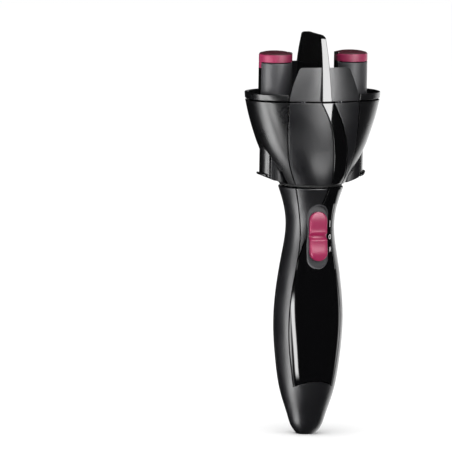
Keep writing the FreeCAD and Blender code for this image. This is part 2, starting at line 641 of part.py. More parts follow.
def build_head(hub_bottom, clip_z):
    outer = head_form(0)
    inner = head_form(HEAD_WALL)
    floor_top = HEAD_BASE + HEAD_FLOOR
    skin = outer.cut(inner).common(slab(floor_top + 0.1, BELT_HEIGHT - PARTING / 2))
    plate_bottom = BEARING_PLATE_TOP - BEARING_PLATE
    channels = tube_channels(plate_bottom)

    # petals, front and rear, with the channel for the gloss sweep
    petal = skin.common(prism(petal_outline(-PARTING / 2), -BIG, 0)).cut(channels)
    groove = prism(sweep_outline(0), -BIG, 0).cut(head_form(INLAY_DEPTH))
    sweep = outer.cut(head_form(INLAY_DEPTH)).common(slab(floor_top + 0.1, BELT_HEIGHT - PARTING / 2))
    sweep = sweep.common(prism(sweep_outline(-PARTING / 2), -BIG, 0))
    sweep = sweep.common(prism(petal_outline(-PARTING / 2), -BIG, 0)).cut(channels)
    petal = petal.cut(groove)
    save("front_petal", petal)
    save("rear_petal", half_turn(petal))
    save("front_sweep", sweep)
    save("rear_sweep", half_turn(sweep))

    # wings: what is left of the tulip on each side, cupped round the tubes
    wings = skin.cut(prism(petal_outline(PARTING / 2), -BIG, BIG)).cut(channels)
    right = wings.common(box(0, BIG, -BIG, BIG, -BIG, BIG))
    save("right_wing", right)
    save("left_wing", half_turn(right))

    # core: hub, floor disc, block between the tubes, lower bearing plate and four posts
    block = head_form(HEAD_WALL + CORE_GAP).common(slab(floor_top - 0.1, BEARING_PLATE_TOP)).cut(channels)
    floor_disc = head_form(FLOOR_INSET).common(slab(HEAD_BASE, floor_top))
    hub = rod(HUB_R, hub_bottom, HEAD_BASE + 0.2)
    posts = [rod(HEAD_POST_R, BEARING_PLATE_TOP - 1, CROWN_BOTTOM, x, y) for x, y in head_screw_places()]
    core = fuse(floor_disc, block, hub, *posts)
    for side in (-1, 1):
        core = core.cut(rod(TAIL_R + RUNNING_FIT, plate_bottom - 1, BEARING_PLATE_TOP + 1, side * TUBE_OFFSET))
    core = core.cut(rod(BUSH_R, 0, BIG))
    core = core.cut(ring(HUB_R + 5, HUB_R - 0.8, clip_z, clip_z + 1.0))
    for x, y in head_screw_places():
        core = core.cut(rod(SCREW_R, CROWN_BOTTOM - HEAD_SCREW_BITE - SCREW_FIT, BIG, x, y))
    save("head_core", core)

    low_bush = ring(BUSH_R, SHAFT_R + RUNNING_FIT, hub_bottom, hub_bottom + BUSH_LENGTH)
    high_bush = ring(BUSH_R, SHAFT_R + RUNNING_FIT, BEARING_PLATE_TOP - BUSH_LENGTH, BEARING_PLATE_TOP)
    collar = ring(BUSH_R + 1.2, SHAFT_R + RUNNING_FIT, BEARING_PLATE_TOP, BEARING_PLATE_TOP + 0.8)
    save("shaft_bushes", Part.makeCompound([low_bush, fuse(high_bush, collar)]))


def head_screw_places():
    return [(sx * HEAD_SCREW_X, sy * HEAD_SCREW_Y) for sx in (-1, 1) for sy in (-1, 1)]


def build_crown():
    """Gear cover with the two cup rims, shields front and rear, and the fin."""
    rim_out = crown_form(0, RIM_HEIGHT, RIM_FLARE, 0)
    rim_in = crown_form(HEAD_WALL, RIM_HEIGHT, RIM_FLARE, 0)
    rim = rim_out.cut(rim_in).common(slab(CROWN_BASE, BELT_HEIGHT + RIM_HEIGHT))
    spigot_out = head_form(HEAD_WALL + CORE_GAP)
    spigot = spigot_out.cut(head_form(2 * HEAD_WALL)).common(slab(CROWN_BOTTOM, BELT_HEIGHT + 0.01))
    step = crown_form(HEAD_WALL - 0.6, RIM_HEIGHT, RIM_FLARE, 0).cut(
        crown_form(2 * HEAD_WALL, RIM_HEIGHT, RIM_FLARE, 0)).common(slab(CROWN_BASE, BELT_HEIGHT + CUP_STEP))
    bridge = spigot_out.cut(head_form(2 * HEAD_WALL)).common(slab(BELT_HEIGHT - SPIGOT_LAP - 0.1, BELT_HEIGHT))
    bridge.translate(V(0, 0, SPIGOT_LAP))
    plate = head_form(HEAD_WALL + CORE_GAP).common(slab(CROWN_BOTTOM, CROWN_TOP))
    middle = SHIELD_HALF_BASE + PARTING / 2
    keep_out = box(-middle, middle, -BIG, BIG, CROWN_TOP, BIG)
    crown = fuse(plate, spigot, bridge, step, rim).cut(keep_out)
    for side in (-1, 1):
        crown = crown.cut(rod(TUBE_R + RUNNING_FIT, 0, BIG, side * TUBE_OFFSET))
    crown = crown.cut(rod(SHAFT_R + RUNNING_FIT, 0, BIG))
    for x, y in head_screw_places():
        crown = crown.cut(rod(SCREW_R + SCREW_FIT, 0, BIG, x, y))
    save("crown", crown)

    screws = []
    for x, y in head_screw_places():
        head = rod(SCREW_HEAD_R, CROWN_TOP, CROWN_TOP + SCREW_HEAD, x, y)
        floor = CROWN_TOP + SCREW_HEAD - DRIVE_DEPTH
        wide, thin = DRIVE_LENGTH / 2, DRIVE_SLOT / 2
        slot = box(x - wide, x + wide, y - thin, y + thin, floor, BIG)
        cross = box(x - thin, x + thin, y - wide, y + wide, floor, BIG)
        shank = rod(SCREW_R, CROWN_BOTTOM - HEAD_SCREW_BITE, CROWN_TOP, x, y)
        screws.append(fuse(shank, head).cut(slot).cut(cross))
    save("head_screws", Part.makeCompound(screws))
    build_shields()
    build_fin()


def shield_outline(grow):
    top = BELT_HEIGHT + SHIELD_HEIGHT
    r = SHIELD_CORNER
    b = SHIELD_HALF_BASE + grow
    t = SHIELD_HALF_TOP + grow
    mid = (b + t) / 2 + SHIELD_BULGE
    base = CROWN_BASE
    side = [V(b, 0, base), V(mid, 0, base + (top - base) * 0.52), V(t + 0.9, 0, top - r)]
    mirror = [V(-p.x, 0, p.z) for p in side]
    corner = Part.Arc(side[-1], V(t - 0.3, 0, top - 0.8), V(t - r + 0.6, 0, top)).toShape()
    corner_left = Part.Arc(mirror[-1], V(-t + 0.3, 0, top - 0.8), V(-t + r - 0.6, 0, top)).toShape()
    return [spline(side), corner, Part.makeLine(V(t - r + 0.6, 0, top), V(-t + r - 0.6, 0, top)),
            corner_left, spline(mirror), Part.makeLine(mirror[0], side[0])]


def build_shields():
    """Curved guards front and rear, each with a foot that stands on the crown plate."""
    form = crown_form(0, SHIELD_HEIGHT, -SHIELD_NARROWING, SHIELD_LEAN)
    inside = crown_form(HEAD_WALL, SHIELD_HEIGHT, -SHIELD_NARROWING, SHIELD_LEAN)
    shield = form.cut(inside).common(prism(shield_outline(0), -BIG, 0))
    ledge_out = head_form(HEAD_WALL + CORE_GAP)
    ledge = ledge_out.cut(head_form(2 * HEAD_WALL + 0.6)).common(
        box(-SHIELD_HALF_BASE + 1, SHIELD_HALF_BASE - 1, -BIG, 0, CROWN_TOP, BELT_HEIGHT - 0.2))
    tie = crown_form(HEAD_WALL - 0.8, SHIELD_HEIGHT, -SHIELD_NARROWING, SHIELD_LEAN).cut(
        crown_form(2 * HEAD_WALL + 0.6, SHIELD_HEIGHT, -SHIELD_NARROWING, SHIELD_LEAN)).common(
        box(-SHIELD_HALF_BASE + 1, SHIELD_HALF_BASE - 1, -BIG, 0, CROWN_BASE, BELT_HEIGHT + SHIELD_FOOT))
    neck = ledge_out.cut(head_form(2 * HEAD_WALL + 0.6)).common(
        box(-SHIELD_HALF_BASE + 1, SHIELD_HALF_BASE - 1, -BIG, 0, BELT_HEIGHT - 2 * SPIGOT_LAP, BELT_HEIGHT))
    neck.translate(V(0, 0, SPIGOT_LAP))
    shield = fuse(shield, ledge, neck, tie)
    for x, y in head_screw_places():
        shield = shield.cut(rod(SCREW_HEAD_R + 0.2, CROWN_TOP - 1, CROWN_TOP + SCREW_HEAD + 0.2, x, y))
    for side in (-1, 1):
        shield = shield.cut(rod(TUBE_R + JAW_CLEARANCE + 1.5, 0, BIG, side * TUBE_OFFSET))
    shield = shield.cut(fin_solid(0.1))
    save("front_shield", shield)
    save("rear_shield", half_turn(shield))


def fin_solid(grow):
    """Blade between the two strands: stands across the head, front to rear."""
    base = CROWN_BASE
    top = BELT_HEIGHT + FIN_HEIGHT
    d = FIN_HALF_DEPTH
    front = [V(0, -d * w - grow, mix(base, top, h)) for w, h in FIN_EDGE]
    brow = [V(0, -d * w, mix(base, top, h) + grow) for w, h in FIN_CREST]
    rear = [V(0, -p.y, p.z) for p in front]
    back_brow = [V(0, -p.y, p.z) for p in reversed(brow)]
    crest = spline([front[-1]] + brow + [V(0, 0, top + grow)] + back_brow + [rear[-1]])
    face = Part.Face(Part.Wire([spline(front), crest, spline(rear), Part.makeLine(rear[0], front[0])]))
    face.translate(V(-BIG / 2, 0, 0))
    blade = face.extrude(V(BIG, 0, 0))
    b, t = FIN_HALF_BASE + grow, FIN_HALF_TOP + grow
    wedge = Part.makePolygon([V(-b, 0, base - 5), V(b, 0, base - 5), V(b, 0, base), V(t, 0, top + 2),
                              V(-t, 0, top + 2), V(-b, 0, base), V(-b, 0, base - 5)])
    wedge = Part.Face(wedge)
    wedge.translate(V(0, -BIG / 2, 0))
    return blade.common(wedge.extrude(V(0, BIG, 0)))


def build_fin():
    blade = fin_solid(0)
    inside = head_form(2 * HEAD_WALL + 0.8)
    foot = box(-FIN_HALF_BASE, FIN_HALF_BASE, -BIG, BIG, CROWN_TOP, BELT_HEIGHT + 1).common(
        slab(CROWN_TOP, BELT_HEIGHT + 1))
    low = foot.common(inside)
    lift = inside.common(box(-FIN_HALF_BASE, FIN_HALF_BASE, -BIG, BIG, BELT_HEIGHT - 2 * SPIGOT_LAP, BELT_HEIGHT))
    lift.translate(V(0, 0, SPIGOT_LAP))
    shaft_room = rod(SHAFT_R + 0.6, 0, CROWN_TOP + 0.8)
    save("fin", fuse(blade, low, lift).cut(shaft_room))


# ---------------------------------------------------------------- drive
def gear_outline(teeth, module, phase):
    """Involute spur outline, thinned by the backlash."""
    pitch_r = module * teeth / 2
    base_r = pitch_r * math.cos(math.radians(20))
    tip_r = pitch_r + module
    root_r = pitch_r - 1.25 * module
    tooth_half = math.pi / (2 * teeth) - GEAR_BACKLASH / (2 * pitch_r)

    def roll(r):
        a = math.acos(min(1.0, base_r / r))
        return math.tan(a) - a

    flank = [max(base_r, root_r + 0.15 * module), pitch_r - 0.35 * module, pitch_r, pitch_r + 0.45 * module, tip_r]
    points = []
    for i in range(teeth):
        middle = phase + 2 * math.pi * i / teeth
        half_angles = [(r, tooth_half + roll(pitch_r) - roll(r)) for r in flank]
        root_half = half_angles[0][1] + 0.02
        tooth = [(root_r, -root_half)] + [(r, -h) for r, h in half_angles]
        tooth += [(r, h) for r, h in reversed(half_angles)] + [(root_r, root_half)]
        for r, angle in tooth:
            points.append(V(r * math.cos(middle + angle), r * math.sin(middle + angle), 0))
    points.append(points[0])
    return Part.Face(Part.makePolygon(points))


def spur_gear(phase):
    wheel = gear_outline(GEAR_TEETH, GEAR_MODULE, phase)
    wheel.translate(V(0, 0, GEAR_BOTTOM))
    return wheel.extrude(V(0, 0, GEAR_WIDTH))


def build_drive():
    shaft_bottom = MOTOR_BOTTOM + MOTOR_LENGTH + GEARBOX_LENGTH - 7.0
    shaft = rod(SHAFT_R, shaft_bottom, CROWN_TOP - 0.3)
    gear_top = GEAR_BOTTOM + GEAR_WIDTH
    flat = box(SHAFT_R - 0.5, SHAFT_R + 1, -BIG, BIG, BEARING_PLATE_TOP + 1.5, gear_top)
    shaft = shaft.cut(flat)
    save("drive_shaft", shaft)
    hub = rod(GEAR_MODULE * 6, BEARING_PLATE_TOP + 1.0, GEAR_BOTTOM + 0.5)
    bore = rod(SHAFT_R, 0, BIG).cut(flat)
    save("sun_gear", fuse(spur_gear(0), hub).cut(bore))


# ---------------------------------------------------------------- hair tubes
def lip_plane(lift):
    """Half space under the slanted tail end, lifted along Z."""
    middle = TAIL_END + LIP_RISE - (TAIL_R + FINGER_LIP) * math.tan(math.radians(LIP_SLOPE)) + lift
    block = box(-BIG, BIG, -BIG, BIG, middle - BIG, middle)
    block.rotate(V(0, 0, middle), V(0, 1, 0), -LIP_SLOPE)
    return block


def build_tube(side):
    """One hair tube. Drawn round its own axis, outward along +X, then carried to its place."""
    name = "right" if side > 0 else "left"
    plate_bottom = BEARING_PLATE_TOP - BEARING_PLATE
    bore_r = TAIL_R - TAIL_WALL
    collar_top = CROWN_TOP + 0.1
    collar_bottom = GEAR_BOTTOM + GEAR_WIDTH + 0.3
    cap_base = TUBE_TOP - CAP_HEIGHT
    strip_top = TUBE_TOP - STRIP_DROP

    def place(node, shape):
        shape.translate(V(TUBE_OFFSET, 0, 0))
        save("%s_%s" % (name, node), shape if side > 0 else half_turn(shape))

    # spool: slotted tail, journals, gear seat, collar and the fixed jaw
    spool = fuse(
        rod(TAIL_R, TAIL_END, BEARING_PLATE_TOP + 1.2),
        rod(COLLAR_R, BEARING_PLATE_TOP + 0.1, collar_bottom),
        rod(TUBE_R, collar_bottom, collar_top),
    ).cut(rod(bore_r, 0, BIG)).cut(lip_plane(0))
    slot_top = plate_bottom - 1.5
    spool = spool.cut(box(0, BIG, -TAIL_SLOT_HALF, TAIL_SLOT_HALF, 0, slot_top))
    strip = rod(TUBE_R, collar_bottom, strip_top).common(
        box(-BIG, STRIP_DEPTH - TUBE_R, -STRIP_HALF_WIDTH, STRIP_HALF_WIDTH, 0, BIG))
    pin_hole = cross_pin(PIVOT_PIN_R, -BIG, BIG, PIVOT_INSET, PIVOT_HEIGHT)
    spool = fuse(spool, strip).cut(pin_hole)
    place("spool", spool)

    wheel = spur_gear(math.pi / GEAR_TEETH).cut(rod(COLLAR_R, 0, BIG))
    place("ring_gear", wheel)
    half_pin = math.sqrt(COLLAR_R ** 2 - (PIVOT_INSET + PIVOT_PIN_R) ** 2) - 0.1
    place("pivot_pin", cross_pin(PIVOT_PIN_R, -half_pin, half_pin, PIVOT_INSET, PIVOT_HEIGHT))

    # jaw: clip shell above, neck through the bore, finger tail below
    jaw_bottom = collar_top + 1.2
    floor_top = jaw_bottom + 1.5
    panel_in = TUBE_R - PANEL_WALL
    notch = box(-BIG, STRIP_DEPTH - TUBE_R + JAW_CLEARANCE, -STRIP_HALF_WIDTH - JAW_CLEARANCE,
                STRIP_HALF_WIDTH + JAW_CLEARANCE, 0, BIG)
    shell_in = panel_in - JAW_WALL
    shell = fuse(ring(panel_in, shell_in, jaw_bottom, cap_base), rod(panel_in - 0.2, jaw_bottom, floor_top))
    rib = ring(TUBE_R, panel_in - JAW_WALL, jaw_bottom, cap_base - CAP_SKIRT).common(
        box(0, BIG, -OUTER_RIB_HALF, OUTER_RIB_HALF, 0, BIG))
    foot = ring(TUBE_R, panel_in - JAW_WALL, jaw_bottom, floor_top)
    neck_x = (PIVOT_INSET - NECK_HALF_DEPTH, PIVOT_INSET + NECK_HALF_DEPTH)
    tail_top = slot_top - 1.5
    web_bottom = tail_top - WEB_HEIGHT
    neck = box(neck_x[0], neck_x[1], -NECK_HALF_WIDTH, NECK_HALF_WIDTH, web_bottom, floor_top)
    tail_half = TAIL_SLOT_HALF - JAW_CLEARANCE
    tail_cut = box(neck_x[0] + 1.8, BIG, -tail_half, tail_half, 0, tail_top)
    tail = rod(TAIL_R, TAIL_END, tail_top).cut(rod(bore_r - 0.6, 0, BIG)).common(tail_cut)
    web = box(neck_x[0], TAIL_R - 1.2, -NECK_HALF_WIDTH, NECK_HALF_WIDTH, web_bottom, tail_top - 1)
    lip_depth = LIP_THICKNESS / math.cos(math.radians(LIP_SLOPE))
    lip = rod(TAIL_R + FINGER_LIP, 0, tail_top).cut(rod(bore_r - 0.6, -1, BIG)).common(
        box(neck_x[0] + 1.8, BIG, -tail_half, tail_half, TAIL_END - 5, tail_top)).common(lip_plane(lip_depth))
    jaw = fuse(shell.cut(notch), rib, foot.cut(notch), neck, tail, web, lip).cut(lip_plane(0))
    jaw = jaw.cut(cross_pin(PIVOT_PIN_R + RUNNING_FIT, -BIG, BIG, PIVOT_INSET, PIVOT_HEIGHT))
    place("jaw", jaw)

    # satin panels over the jaw's front and rear, and the cap over all
    skin = ring(TUBE_R, panel_in, floor_top, cap_base).cut(notch)
    skin = skin.cut(box(0, BIG, -OUTER_RIB_HALF - 0.05, OUTER_RIB_HALF + 0.05, 0, BIG))
    front_half = box(-BIG, BIG, -BIG, 0, 0, BIG)
    place("front_jaw_panel" if side > 0 else "rear_jaw_panel", skin.common(front_half))
    place("rear_jaw_panel" if side > 0 else "front_jaw_panel", skin.cut(front_half))

    shoulder = TUBE_TOP - CAP_SHOULDER
    rise = Part.makeLine(V(TUBE_R, 0, cap_base), V(TUBE_R, 0, shoulder - 0.7))
    edge = Part.Arc(V(TUBE_R, 0, shoulder - 0.7), V(TUBE_R - 0.35, 0, shoulder + 0.1), V(TUBE_R - 1.1, 0, shoulder + 0.5))
    dome = Part.Arc(V(TUBE_R - 1.1, 0, shoulder + 0.5), V(TUBE_R * 0.5, 0, TUBE_TOP - 0.33), V(0, 0, TUBE_TOP))
    outline = Part.Wire([Part.makeLine(V(0, 0, cap_base), V(TUBE_R, 0, cap_base)), rise, edge.toShape(),
                         dome.toShape(), Part.makeLine(V(0, 0, TUBE_TOP), V(0, 0, cap_base))])
    cap = Part.Face(outline).revolve(V(0, 0, 0), V(0, 0, 1), 360)
    if cap.ShapeType != "Solid":
        cap = Part.makeSolid(cap)
    plug = rod(panel_in - JAW_WALL - 0.05, cap_base - 1.5, cap_base + 0.5)
    skirt = ring(TUBE_R, panel_in, cap_base - CAP_SKIRT + 0.05, cap_base + 0.1).common(
        box(0, BIG, -OUTER_RIB_HALF, OUTER_RIB_HALF, 0, BIG))
    hollow = rod(panel_in - JAW_WALL - 1.2, cap_base - 2, cap_base + 3.2)
    place("cap", fuse(cap, plug, skirt).cut(hollow).cut(notch))

    place("jaw_spring", jaw_spring())


def jaw_spring():
    """Torsion spring beside the lever's neck: coil on the pin, one leg on each part."""
    coil_r = PIVOT_PIN_R + JAW_WIRE_R + 0.15
    height = (2 * JAW_WIRE_R + 0.02) * JAW_SPRING_TURNS
    coil = coil_points(coil_r, height, JAW_SPRING_TURNS)
    spring = bent_wire([V(coil_r, -JAW_SPRING_LEG, 0)] + coil + [V(coil_r, JAW_SPRING_LEG, height)], JAW_WIRE_R)
    spring.rotate(V(0, 0, 0), V(1, 0, 0), 90)
    spring.translate(V(PIVOT_INSET, NECK_HALF_WIDTH + 0.5 + height, PIVOT_HEIGHT))
    return spring


build_handle()
build_switch()
HUB_BOTTOM, CLIP_Z = build_motor()
build_battery_bay()
build_head(HUB_BOTTOM, CLIP_Z)
build_crown()
build_drive()
build_tube(1)
build_tube(-1)
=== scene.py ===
"""Automatic hair braider: handle with a slide switch, rotor head, and two hair tubes beside a fin.

The shapes are drawn in millimetres and scaled to metres as each piece is finished. Fronts face -Y.
"""
import bmesh
import bpy
import math
import numpy as np
from mathutils import Matrix, Vector


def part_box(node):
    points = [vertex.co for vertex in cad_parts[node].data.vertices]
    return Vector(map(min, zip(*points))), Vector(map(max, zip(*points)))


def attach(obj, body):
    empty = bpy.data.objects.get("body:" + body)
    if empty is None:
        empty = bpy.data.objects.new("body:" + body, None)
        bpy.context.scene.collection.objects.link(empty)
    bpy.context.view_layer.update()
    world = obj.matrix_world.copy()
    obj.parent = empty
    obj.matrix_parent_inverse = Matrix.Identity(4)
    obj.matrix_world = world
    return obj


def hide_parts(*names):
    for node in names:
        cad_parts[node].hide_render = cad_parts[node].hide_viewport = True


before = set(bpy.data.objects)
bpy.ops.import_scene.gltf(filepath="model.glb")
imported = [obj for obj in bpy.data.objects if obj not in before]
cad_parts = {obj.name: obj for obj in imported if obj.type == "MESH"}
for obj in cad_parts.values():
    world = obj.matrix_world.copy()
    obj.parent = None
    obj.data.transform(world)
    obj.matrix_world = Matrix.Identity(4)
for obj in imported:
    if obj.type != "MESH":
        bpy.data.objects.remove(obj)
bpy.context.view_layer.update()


# ---- handle shells -------------------------------------------------------------------------------
# Two halves moulded in black ABS, joined down the sides and screwed together from the back. The
# mould is spark-eroded, which leaves a fine satin grain.
MM = 0.001
PARTING = 0.6                  # width of a parting line
SEAM = PARTING / 2             # each piece's share of it
JOIN = 0.4                     # degrees from the side's middle to each shell's edge
HANDLE_WALL, SHELL_EDGE = 2.4, 0.22
HANDLE_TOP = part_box("handle_front_shell")[1].z / MM
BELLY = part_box("handle_front_shell")[1].x / MM
# share of the height, share of the belly's half width, depth over width
HANDLE_FORM = [(0.000, 0.270, 0.92), (0.020, 0.385, 0.92), (0.070, 0.535, 0.91), (0.160, 0.745, 0.90),
               (0.290, 0.915, 0.89), (0.450, 1.000, 0.89), (0.590, 0.940, 0.91), (0.720, 0.800, 0.95),
               (0.845, 0.692, 0.999), (0.925, 0.768, 0.999), (1.000, 0.934, 0.999)]


def linear(hex_colour):
    """sRGB hex to the linear colour that a shader takes."""
    channels = [int(hex_colour[i:i + 2], 16) / 255 for i in (1, 3, 5)]
    return [c / 12.92 if c <= 0.04045 else ((c + 0.055) / 1.055) ** 2.4 for c in channels] + [1.0]


def add(tree, kind, inputs=None, **settings):
    """Adds a node with its settings, and fills or links its inputs."""
    made = tree.nodes.new(kind)
    for key, value in settings.items():
        setattr(made, key, value)
    for socket, value in (inputs or {}).items():
        if isinstance(value, bpy.types.NodeSocket):
            tree.links.new(value, made.inputs[socket])
        else:
            made.inputs[socket].default_value = value
    return made


DRIFT_SPAN = 14.0              # mm over which tone and gloss wander


def moulded(name, base, roughness, grain, depth, tone=1.25, spread=0.05, ior=1.53):
    """A moulded or cast surface: grain in mm, its depth in mm, and a slow drift in tone and gloss."""
    material = bpy.data.materials.new(name)
    material.use_nodes = True
    tree = material.node_tree
    tree.nodes.clear()
    spot = add(tree, "ShaderNodeTexCoord").outputs["Object"]
    grit = add(tree, "ShaderNodeTexNoise", {"Vector": spot, "Scale": 1 / (grain * MM), "Detail": 2.0})
    cloud = add(tree, "ShaderNodeTexNoise", {"Vector": spot, "Scale": 1 / (DRIFT_SPAN * MM), "Detail": 3.0})
    drift = add(tree, "ShaderNodeMath", {0: grit.outputs["Fac"], 1: cloud.outputs["Fac"]},
                operation="MULTIPLY")
    dark = linear(base)
    light = [c * tone for c in dark[:3]] + [1.0]
    colour = add(tree, "ShaderNodeMix", {"Factor": drift.outputs[0], "A": dark, "B": light}, data_type="RGBA")
    gloss = add(tree, "ShaderNodeMapRange", {
        "Value": cloud.outputs["Fac"], "From Min": 0.3, "From Max": 0.7,
        "To Min": roughness - spread, "To Max": roughness + spread})
    bump = add(tree, "ShaderNodeBump", {
        "Height": grit.outputs["Fac"], "Distance": depth * MM, "Strength": 1.0})
    shader = add(tree, "ShaderNodeBsdfPrincipled", {
        "Base Color": colour.outputs["Result"], "Roughness": gloss.outputs["Result"],
        "Normal": bump.outputs["Normal"], "IOR": ior})
    add(tree, "ShaderNodeOutputMaterial", {"Surface": shader.outputs[0]})
    return material


# spark-eroded ABS: a soft sheen with a faint sparkle; its 0.1 mm grain is drawn at 0.6 mm to show
satin_abs = moulded("abs_spark_eroded_black", "#151518", 0.33, 0.6, 0.045)


def smooth_run(points):
    """Natural cubic spline through (place, value) pairs, as a function."""
    x, y = np.array(sorted(points), float).T
    h = np.diff(x)
    rows, right = np.eye(len(x)), np.zeros(len(x))
    for i in range(1, len(x) - 1):
        rows[i, i - 1:i + 2] = h[i - 1], 2 * (h[i - 1] + h[i]), h[i]
        right[i] = 6 * ((y[i + 1] - y[i]) / h[i] - (y[i] - y[i - 1]) / h[i - 1])
    m = np.linalg.solve(rows, right)

    def value(place):
        i = min(max(int(np.searchsorted(x, place)) - 1, 0), len(x) - 2)
        ahead, past = x[i + 1] - place, place - x[i]
        bend = (m[i] * ahead ** 3 + m[i + 1] * past ** 3) / (6 * h[i])
        from_low = (y[i] / h[i] - m[i] * h[i] / 6) * ahead
        from_high = (y[i + 1] / h[i] - m[i + 1] * h[i] / 6) * past
        return bend + from_low + from_high
    return value


def mixed(a, b, share):
    """The value that lies a share of the way from a to b."""
    return a + (b - a) * share


def patch(bm, columns, rows, place):
    """A rectangular net of faces; place(s, t) carries each of its points to the surface."""
    net = bmesh.ops.create_grid(bm, x_segments=columns, y_segments=rows, size=0.5)
    for v in net["verts"]:
        v.co = place(v.co.x + 0.5, v.co.y + 0.5)
    return net["verts"]


WELD = 0.004                   # points closer than this become one


def finish_piece(name, bm, body, materials, stands_for=(), slot=None, wall=0.0, edge=0.0, axis_x=0.0,
                 steps=2):
    """Merges seams, turns faces out from an upright axis, scales to metres, and gives it to its body."""
    bmesh.ops.remove_doubles(bm, verts=bm.verts, dist=WELD)
    bmesh.ops.dissolve_degenerate(bm, edges=bm.edges, dist=WELD / 2)
    bmesh.ops.recalc_face_normals(bm, faces=bm.faces)
    if wall:
        lean = sum(f.normal.x * (f.calc_center_median().x - axis_x) + f.normal.y * f.calc_center_median().y
                   for f in bm.faces)
        if lean < 0:
            bmesh.ops.reverse_faces(bm, faces=bm.faces)
    bmesh.ops.scale(bm, vec=(MM, MM, MM), verts=bm.verts)
    mesh = bpy.data.meshes.new(name)
    bm.to_mesh(mesh)
    bm.free()
    mesh.shade_smooth()
    made = bpy.data.objects.new(name, mesh)
    bpy.context.scene.collection.objects.link(made)
    for material in materials:
        mesh.materials.append(material)
    if wall:
        solid = made.modifiers.new("wall", "SOLIDIFY")
        solid.thickness, solid.offset, solid.use_even_offset = wall * MM, -1.0, False
    if edge:
        rounding = made.modifiers.new("edge", "BEVEL")
        rounding.width, rounding.segments, rounding.limit_method = edge * MM, steps, "ANGLE"
        rounding.angle_limit, rounding.use_clamp_overlap = math.radians(40), True
    weighted = made.modifiers.new("shading", "WEIGHTED_NORMAL")
    weighted.keep_sharp = True
    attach(made, body)
    if stands_for:
        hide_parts(*stands_for)


handle_width = smooth_run([(h * HANDLE_TOP, w * BELLY) for h, w, d in HANDLE_FORM])
handle_ratio = smooth_run([(h * HANDLE_TOP, d) for h, w, d in HANDLE_FORM])


def on_handle(angle, z, share=1.0):
    """Point of the handle at an angle round from its front, in radians."""
    a = handle_width(z) * share
    return Vector((a * math.sin(angle), -a * handle_ratio(z) * math.cos(angle), z))


def handle_angle(x, z):
    return math.asin(max(-1.0, min(1.0, x / handle_width(z))))


# the front panel's seam, and the sweep that crosses the neck: shares of height and of belly width
PANEL_SEAM = [(0.197, 0.575), (0.42, 0.765), (0.63, 0.648), (0.81, 0.465), (0.985, 0.645), (1.0, 0.675)]
NECK_SWEEP = [(0.66, -0.70), (0.705, -0.56), (0.80, -0.33), (0.933, 0.07), (1.0, 0.21)]
panel_seam = smooth_run([(h * HANDLE_TOP, w * BELLY) for h, w in PANEL_SEAM])
neck_sweep = smooth_run([(h * HANDLE_TOP, w * BELLY) for h, w in NECK_SWEEP])
PANEL_LOW = PANEL_SEAM[0][0] * HANDLE_TOP
PANEL_ARCH = 4.0
FLAT_SHARE = 0.06              # share of a shell's rows that the end flat gets
TOP_ROUND = 0.9                # radius of the shells' upper edge


def panel_arch(x):
    """Lower border of the front panel, an arch that rises in the middle."""
    return PANEL_LOW + PANEL_ARCH * (1 - min(1.0, abs(x) / panel_seam(PANEL_LOW)) ** 2)


def end_rows(t, z_top):
    """Height and radial share: the flat end first, then up the side."""
    if t < FLAT_SHARE:
        return 0.0, t / FLAT_SHARE
    return z_top * ((t - FLAT_SHARE) / (1 - FLAT_SHARE)) ** 1.25, 1.0


def round_top(bm):
    """Rolls the shell in at its upper edge."""
    for v in bm.verts:
        over = v.co.z - (HANDLE_TOP - TOP_ROUND)
        if over > 0.001:
            rolled = TOP_ROUND - math.sqrt(max(0.0, TOP_ROUND ** 2 - over ** 2))
            share = 1 - rolled / math.hypot(v.co.x, v.co.y)
            v.co.x *= share
            v.co.y *= share


def side_height(low, t, even=0.93):
    """Rows up a side: an even share up to the rounded edge, then close together round it."""
    if t < even:
        return mixed(low, HANDLE_TOP - TOP_ROUND, t / even)
    return HANDLE_TOP - TOP_ROUND + TOP_ROUND * math.sin(math.pi / 2 * (t - even) / (1 - even))


def front_shell():
    bm = bmesh.new()
    edge_angle = math.radians(90 - JOIN)
    seam_low = handle_angle(panel_seam(PANEL_LOW) + SEAM, PANEL_LOW)

    def side(s, t):
        z = side_height(PANEL_LOW, t)
        return on_handle(mixed(handle_angle(panel_seam(z) + SEAM, z), edge_angle, s), z)

    def low_side(s, t):
        z, share = end_rows(t, PANEL_LOW)
        return on_handle(mixed(seam_low, edge_angle, s), z, share)

    def low_middle(s, t):
        angle = mixed(-seam_low, seam_low, s)
        x = handle_width(PANEL_LOW) * math.sin(angle)
        z, share = end_rows(t, panel_arch(x) - SEAM * (1 - abs(2 * s - 1)))
        return on_handle(angle, z, share)

    for hand in (1, -1):
        for rows, place in ((150, side), (44, low_side)):
            verts = patch(bm, 20, rows, place)
            bmesh.ops.scale(bm, vec=(hand, 1, 1), verts=verts)
    patch(bm, 34, 44, low_middle)
    round_top(bm)
    finish_piece("handle_front", bm, "handle", [satin_abs], ["handle_front_shell"], "satin_black",
                 wall=HANDLE_WALL, edge=SHELL_EDGE)


front_shell()


DOOR_HALF, DOOR_LOW, DOOR_HIGH, DOOR_CORNER = 14.0, 36.0, 99.0, 4.0


def door_half(z):
    """Half width of the battery door at a height; its lower corners are round."""
    over = DOOR_LOW + DOOR_CORNER - z
    if over <= 0:
        return DOOR_HALF
    return DOOR_HALF - DOOR_CORNER + math.sqrt(max(0.0, DOOR_CORNER ** 2 - over ** 2))


def back_angle(x, z):
    return math.pi - handle_angle(x, z)


